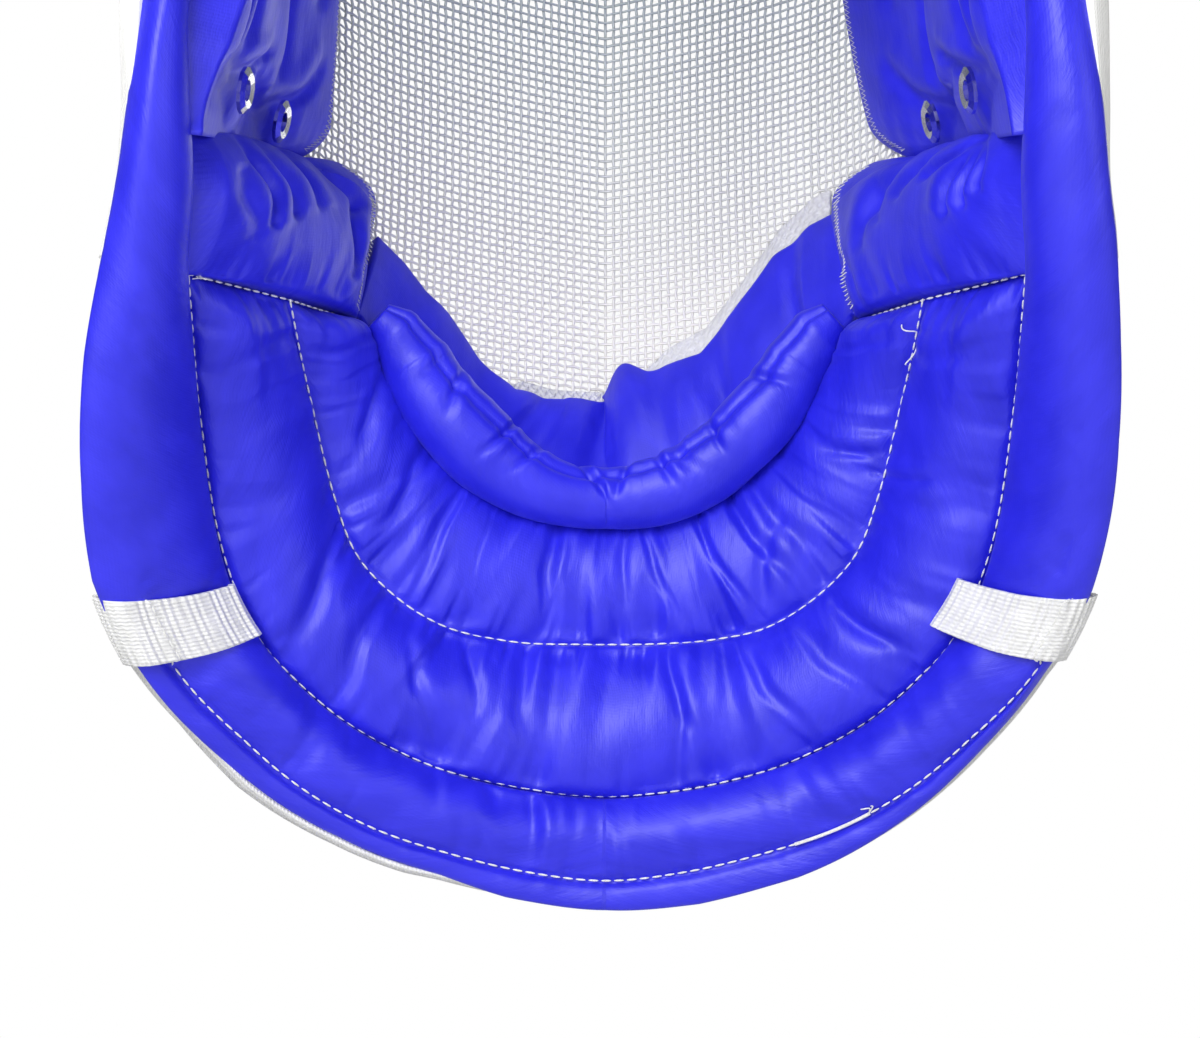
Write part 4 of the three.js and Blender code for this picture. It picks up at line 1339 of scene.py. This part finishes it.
def edge_tape():
    """White looped tape along the inside of the cage's lower edge."""
    count = 300
    across = np.linspace(-0.37, 0.37, count)[:, None]
    low = edge_row(across)
    place = cage(across, low)[..., 0]
    wide = read_rows(TAPE_ROWS, place)
    high = row_at_height(across, edge_height(across) + wide)
    share = np.linspace(0, 1, 20)[None]
    base = smooth_grid(cage(across, low + (high - low) * share), 6)
    out = normals_of(base, HEAD_CENTRE)
    loops = 0.55 * np.sin(np.arange(count) * 2 * math.pi / 6)[:, None] * np.sin(share * 5 * math.pi)
    front = base - out * (2.2 + loops)[..., None]
    return sheet_piece("mesh_tape", front, base - out * 0.6, ribbed_webbing())


def wire_lines():
    """Rows and columns of the woven cage, one point at each crossing."""
    pitch = sizes().wire_pitch / MM
    high = 0.45 * sizes().wire_width / MM
    rows = np.linspace(0, 1, 420)
    lengths = row_length(cage_row(rows)[2])
    reach = int(lengths.max() / pitch)
    columns = np.arange(-reach, reach + 1)
    across = columns[:, None] * pitch / lengths[None]
    inside = np.abs(across) <= 1
    surface = cage(across.clip(-1, 1), rows[None])
    step = np.linalg.norm(np.diff(surface, axis=1), axis=-1)
    climb = np.concatenate([np.zeros((len(columns), 1)), np.cumsum(step, 1)], 1)
    level = np.abs(surface[..., 2] + 20).argmin(1)
    climb -= climb[np.arange(len(columns)), level][:, None]
    out = normals_of(surface, HEAD_CENTRE)
    edge = edge_height(across[:, round(0.3 * (len(rows) - 1))].clip(-1, 1))
    row_pitch = ROW_PITCH * pitch
    top = int(climb.max() / row_pitch) + 1
    bottom = int(climb.min() / row_pitch) - 1
    levels = np.arange(bottom, top + 1)
    grid = np.full((len(columns), len(levels), 3), np.nan)
    normal = np.zeros_like(grid)
    for i in range(len(columns)):
        keep = inside[i] & (surface[i, :, 2] > edge[i] + 0.5)
        if keep.sum() < 4:
            continue
        wanted = levels * row_pitch
        good = (wanted >= climb[i][keep].min()) & (wanted <= climb[i][keep].max())
        for k in range(3):
            grid[i, good, k] = np.interp(wanted[good], climb[i], surface[i, :, k])
            normal[i, good, k] = np.interp(wanted[good], climb[i], out[i, :, k])
    weave = (-1.0) ** (columns[:, None] + levels[None])
    shift = normal * (0.6 + high * weave[..., None])
    other = normal * (0.6 - high * weave[..., None])
    return grid + shift, grid + other


def runs_of(line):
    """The unbroken runs of a line that has gaps."""
    good = ~np.isnan(line[:, 0])
    runs, start = [], None
    for i, flag in enumerate(np.append(good, False)):
        if flag and start is None:
            start = i
        if not flag and start is not None:
            if i - start > 2:
                runs.append(line[start:i])
            start = None
    return runs


def seam_line(down, limit, lift, seed):
    """Line of a bib seam just over the cloth."""
    along = np.linspace(-limit, limit, 500)
    grid = bib(along[:, None], np.array([[down - 0.004, down, down + 0.004]]))
    out = normals_of(grid, THROAT_CENTRE)[:, 1]
    line = grid[:, 1] - out * lift
    return line + 0.25 * smooth_noise(along * BIB_RUN, 18, seed)[:, None] * np.array([0, 0, 1.0])


def hem_seam_line(first, last, count):
    """Line of the edge stitching, lifted over the tabs that it crosses."""
    stations = np.linspace(first, last, count)
    frames = roll_frames(stations % LOOP_COUNT)
    sideways = hem_seam_share(stations) * frames["half"]
    middle = tab_frames(0.0, sideways)
    half_width = (tab_frames(sizes().webbing_width / MM, 0.0) - tab_frames(0.0, 0.0)) / 2
    over = np.clip((half_width * 1.12 - np.abs(np.abs(stations) - middle)) / 0.08, 0, 1)
    deep = np.interp(np.abs(stations), [0, 3, 5, 8], [3.7, 3.4, 2.8, 2.0]) + 7.4 * over
    return roll_points(frames, sideways[:, None], deep[:, None])[:, 0]


def cross_seam(side):
    """The horizontal seam under a cheek, from the roll to the chin roll."""
    share = np.linspace(0, 1, 80)[::2, None]
    one = np.ones(len(share))
    first = OUTER_SEAM(one) * (1 - share) + INNER_SEAM(one) * share
    second = INNER_SEAM(one) * (1 - share) + NECK(one) * share
    line = np.concatenate([first, second[1:]])
    toward = unit(THROAT_CENTRE - line)
    return (line + toward * 2.2) * (side, 1, 1)


def zigzag(line, out, width, pitch):
    """Overlock thread over a cloth edge: line of points with its side direction."""
    length = run_lengths(line)
    count = int(length[-1] / pitch)
    at = np.linspace(0, length[-1], count * 2)
    points = np.stack([np.interp(at, length, line[:, k]) for k in range(3)], -1)
    sides = np.stack([np.interp(at, length, out[:, k]) for k in range(3)], -1)
    jitter = seeded(171).uniform(0.7, 1.25, len(at))
    return points + sides * (width * jitter * ((np.arange(len(at)) % 2) * 2 - 1))[:, None]


def overlock_line(pad):
    """Zigzag of thread along a finished pad's free edge, read from its mesh."""
    mesh = pad.data
    places = np.empty(len(mesh.vertices) * 3)
    mesh.vertices.foreach_get("co", places)
    shape = (PAD_ROWS + TUCK_ROWS, PAD_COLUMNS, 3)
    grid = places[: math.prod(shape)].reshape(shape) / MM
    edge, behind = (grid[row, 3:-3] + (0, 0, SEAT_HEIGHT) for row in OVERLOCK_ROWS)
    out = unit(edge - behind)
    return zigzag(edge + out * 0.6, out, 2.2, 1.8)


def thread_tails():
    """Short loose ends where a seam ends or starts again."""
    starts = [
        (bib(np.array([[along]]), np.array([[down]]))[0, 0], x, z, 3.0) for along, down, x, z in LOOSE_ENDS
    ]
    starts += [(hem_seam_line(place, place + 0.01, 2)[0], x, z, 0.4) for place, x, z in HEM_ENDS]
    turn = np.linspace(0, 1, 14)[:, None]
    tails = []
    for start, x, z, lift in starts:
        toward = unit(THROAT_CENTRE - start)
        curl = 1.1 * np.concatenate([np.sin(5 * turn), 0 * turn, np.cos(4 * turn) - 1], 1)
        tails.append(start + toward * (lift + 2.0 * np.sin(math.pi * turn)) + turn * (x, 0, z) + curl)
    return tails


class MASK_OT_cage(bpy.types.Operator):
    """Woven wire cage: rows and columns of crimped wire"""

    bl_idname = "mask.cage"
    bl_label = "Wire cage"

    def execute(self, context):
        across, along = wire_lines()
        tree = thread_tree()
        values = {"Radius": sizes().wire_width / 2, "Sides": 4, "Material": cage_steel()}
        row_runs = [run for k in range(across.shape[1]) for run in runs_of(across[:, k])]
        column_runs = [run for k in range(along.shape[0]) for run in runs_of(along[k])]
        rows = grown("cage_row_wires", row_runs, tree, values)
        columns = grown("cage_column_wires", column_runs, tree, values)
        settle(rows, ["mesh_cage"])
        settle(columns, ["mesh_cage"])
        settle(edge_tape(), ["mesh_edge_tape"])
        return {"FINISHED"}


class MASK_OT_bib(bpy.types.Operator):
    """Quilted lining, rim roll and the white shell behind them"""

    bl_idname = "mask.bib"
    bl_label = "Bib and roll"

    def execute(self, context):
        settle(quilted_lining(), ["bib_lining"])
        settle(rim_roll(), ["rim_roll"])
        bib_side, jaw_side = white_shells()
        settle(bib_side, ["bib_shell"])
        settle(jaw_side, ["jaw_shell"])
        place = np.linspace(-LOWER_STATIONS, LOWER_STATIONS, 420)
        peek = np.interp(place, [-6.2, -5.6, -4.6, -2.4, -1.2], [0, 0, 1, 1, 0])
        hidden = ((np.abs(place) - 6.9) / 0.9).clip(0, 1)
        gap = roll_edge(place) + 2.9 * peek - 3.1 - 7.0 * hidden
        tape = outer_band("hem_tape", place, gap, 2.0, 0.4, 7.0, ribbed_webbing())
        settle(tape, ["bib_edge_tape"])
        place = np.linspace(LOWER_STATIONS + 0.1, LOOP_COUNT - LOWER_STATIONS - 0.1, 420)
        ends = np.clip(np.minimum(place - place[0], place[-1] - place) / 3.2, 0, 1)
        gap = roll_edge(signed_stations(place)) - 6.2 + 5.2 * ends
        binding = outer_band("rim_binding_cloth", place, gap, 0.8 + 3.6 * ends, 0.5, 9, heavy_cloth())
        settle(binding, ["rim_binding"])
        return {"FINISHED"}


class MASK_OT_pads(bpy.types.Operator):
    """Side pads, forehead pad, chin roll and chin lining"""

    bl_idname = "mask.pads"
    bl_label = "Pads and chin roll"

    def execute(self, context):
        for word, side in (("left", -1), ("right", 1)):
            settle(temple_pad(word, side), [f"temple_pad_{word}"])
            settle(cheek_pad(word, side), [f"cheek_pad_{word}"])
        settle(forehead_pad(), ["forehead_pad"])
        settle(chin_roll(), ["chin_roll"])
        settle(chin_lining(), ["chin_lining"])
        settle(back_tongue(), ["back_tongue"])
        return {"FINISHED"}


class MASK_OT_stitching(bpy.types.Operator):
    """Seams, overlock threads and loose thread ends"""

    bl_idname = "mask.stitching"
    bl_label = "Stitching"

    def execute(self, context):
        tree = stitch_tree()
        pitch = sizes().stitch_pitch
        radius = sizes().thread_width / 2
        values = {"Pitch": pitch, "Length": pitch * 0.82, "Radius": radius, "Material": sewing_thread()}
        lines = [seam_line(INNER_SEAM_AT, 0.995, 2.9, 181), seam_line(OUTER_SEAM_AT - 0.002, 0.995, 2.1, 183)]
        lines += [hem_seam_line(-7.4, 7.4, 500)]
        lines += [cross_seam(side) for side in (-1, 1)]
        settle(grown("seam_stitches", lines, tree, values))
        words = [f"{name}_cloth_{word}" for name in ("temple", "cheek") for word in ("left", "right")]
        edges = [overlock_line(bpy.data.objects[word]) for word in words]
        values = {"Radius": radius * 0.7, "Sides": 5, "Material": sewing_thread()}
        threads = thread_tree()
        settle(grown("overlock_threads", edges, threads, values))
        settle(grown("thread_tails", thread_tails(), threads, values))
        values = {"Radius": radius * 1.7, "Sides": 6, "Material": sewing_thread()}
        settle(grown("back_stitches", [hem_seam_line(*BACKSTITCH, 60)], threads, values))
        return {"FINISHED"}


class MASK_OT_trim(bpy.types.Operator):
    """Webbing tabs and ring snaps"""

    bl_idname = "mask.trim"
    bl_label = "Tabs and snaps"

    def execute(self, context):
        for word, side in (("left", -1), ("right", 1)):
            settle(webbing_tab(word, side), [f"webbing_tab_{word}"])
            for place in ("front", "rear"):
                looks = frame["nodes"][f"snap_{place}_{word}"].data.materials
                looks.clear()
                looks.append(snap_steel())
        return {"FINISHED"}


class MASK_OT_stage(bpy.types.Operator):
    """Floor, backdrop and lights"""

    bl_idname = "mask.stage"
    bl_label = "Stage"

    def execute(self, context):
        low = CAD_BOX[0][2] - 0.12
        plain, _ = shader("stage_paper", (0.92, 0.92, 0.92), 0.9)
        mesh = bpy.data.meshes.new("floor")
        reach = 4.0
        mesh.from_pydata(
            [(-reach, -reach, low), (reach, -reach, low), (reach, reach, low), (-reach, reach, low)],
            [],
            [(0, 1, 2, 3)],
        )
        mesh.materials.append(plain)
        placed("floor", mesh)
        world = bpy.data.worlds.new("studio")
        world.use_nodes = True
        background = world.node_tree.nodes["Background"]
        background.inputs["Color"].default_value = (1, 1, 1, 1)
        seen = world.node_tree.nodes.new("ShaderNodeLightPath")
        strength = world.node_tree.nodes.new("ShaderNodeMath")
        strength.operation = "MULTIPLY_ADD"
        strength.inputs[1].default_value = 0.8
        strength.inputs[2].default_value = 0.2
        world.node_tree.links.new(seen.outputs["Is Camera Ray"], strength.inputs[0])
        world.node_tree.links.new(strength.outputs[0], background.inputs["Strength"])
        context.scene.world = world
        context.scene.view_settings.view_transform = "Standard"
        lights = [
            ("key", (-0.35, -1.0, -0.05), 0.5, 10.2),
            ("top", (-0.35, -0.7, 0.75), 0.45, 3.2),
            ("fill", (0.95, -0.8, -0.3), 0.6, 3.2),
            ("low", (-0.6, -0.8, -0.5), 0.5, 1.2),
            ("front", (0.5, 1.2, 0.1), 0.9, 7.0),
        ]
        for name, place, size, power in lights:
            data = bpy.data.lights.new(name, "AREA")
            data.size = size
            data.energy = power
            lamp = placed(name, data)
            lamp.location = place
            aim = Vector((0, 0.05, -0.3)) - Vector(place)
            lamp.rotation_euler = aim.to_track_quat("-Z", "Y").to_euler()
        return {"FINISHED"}


class MASK_OT_camera(bpy.types.Operator):
    """Camera behind and below the mask, looking up into it"""

    bl_idname = "mask.camera"
    bl_label = "Camera"

    def execute(self, context):
        data = bpy.data.cameras.new("camera")
        data.sensor_width = 36
        image_width = 1200
        focal_pixels = 2090
        data.lens = data.sensor_width * focal_pixels / image_width
        camera = placed("camera", data)
        camera.location = (-0.002, -0.6, -0.302 - SEAT_HEIGHT * MM)
        camera.rotation_euler = (math.radians(90 + 13.9), 0, 0)
        context.scene.camera = camera
        return {"FINISHED"}


OPERATORS = [
    MASK_OT_camera,
    MASK_OT_bib,
    MASK_OT_pads,
    MASK_OT_cage,
    MASK_OT_stitching,
    MASK_OT_trim,
    MASK_OT_stage,
]


class MASK_PT_sidebar(bpy.types.Panel):
    """Lists the pieces and their sizes"""

    bl_idname = "MASK_PT_sidebar"
    bl_label = "Fencing mask"
    bl_space_type = "VIEW_3D"
    bl_region_type = "UI"
    bl_category = "Mask"

    def draw(self, context):
        for operator in OPERATORS:
            self.layout.operator(operator.bl_idname)
        for group in (context.scene.mask_sizes, context.scene.mask_colours):
            for name in group.__annotations__:
                self.layout.prop(group, name)


CLASSES = [MaskSizes, MaskColours, *OPERATORS, MASK_PT_sidebar]


def register():
    for item in CLASSES:
        bpy.utils.register_class(item)
    bpy.types.Scene.mask_sizes = bpy.props.PointerProperty(type=MaskSizes)
    bpy.types.Scene.mask_colours = bpy.props.PointerProperty(type=MaskColours)


def unregister():
    del bpy.types.Scene.mask_sizes
    del bpy.types.Scene.mask_colours
    for item in reversed(CLASSES):
        bpy.utils.unregister_class(item)


def main():
    register()
    for operator in OPERATORS:
        group, name = operator.bl_idname.split(".")
        getattr(getattr(bpy.ops, group), name)()


if __name__ == "__main__":
    main()
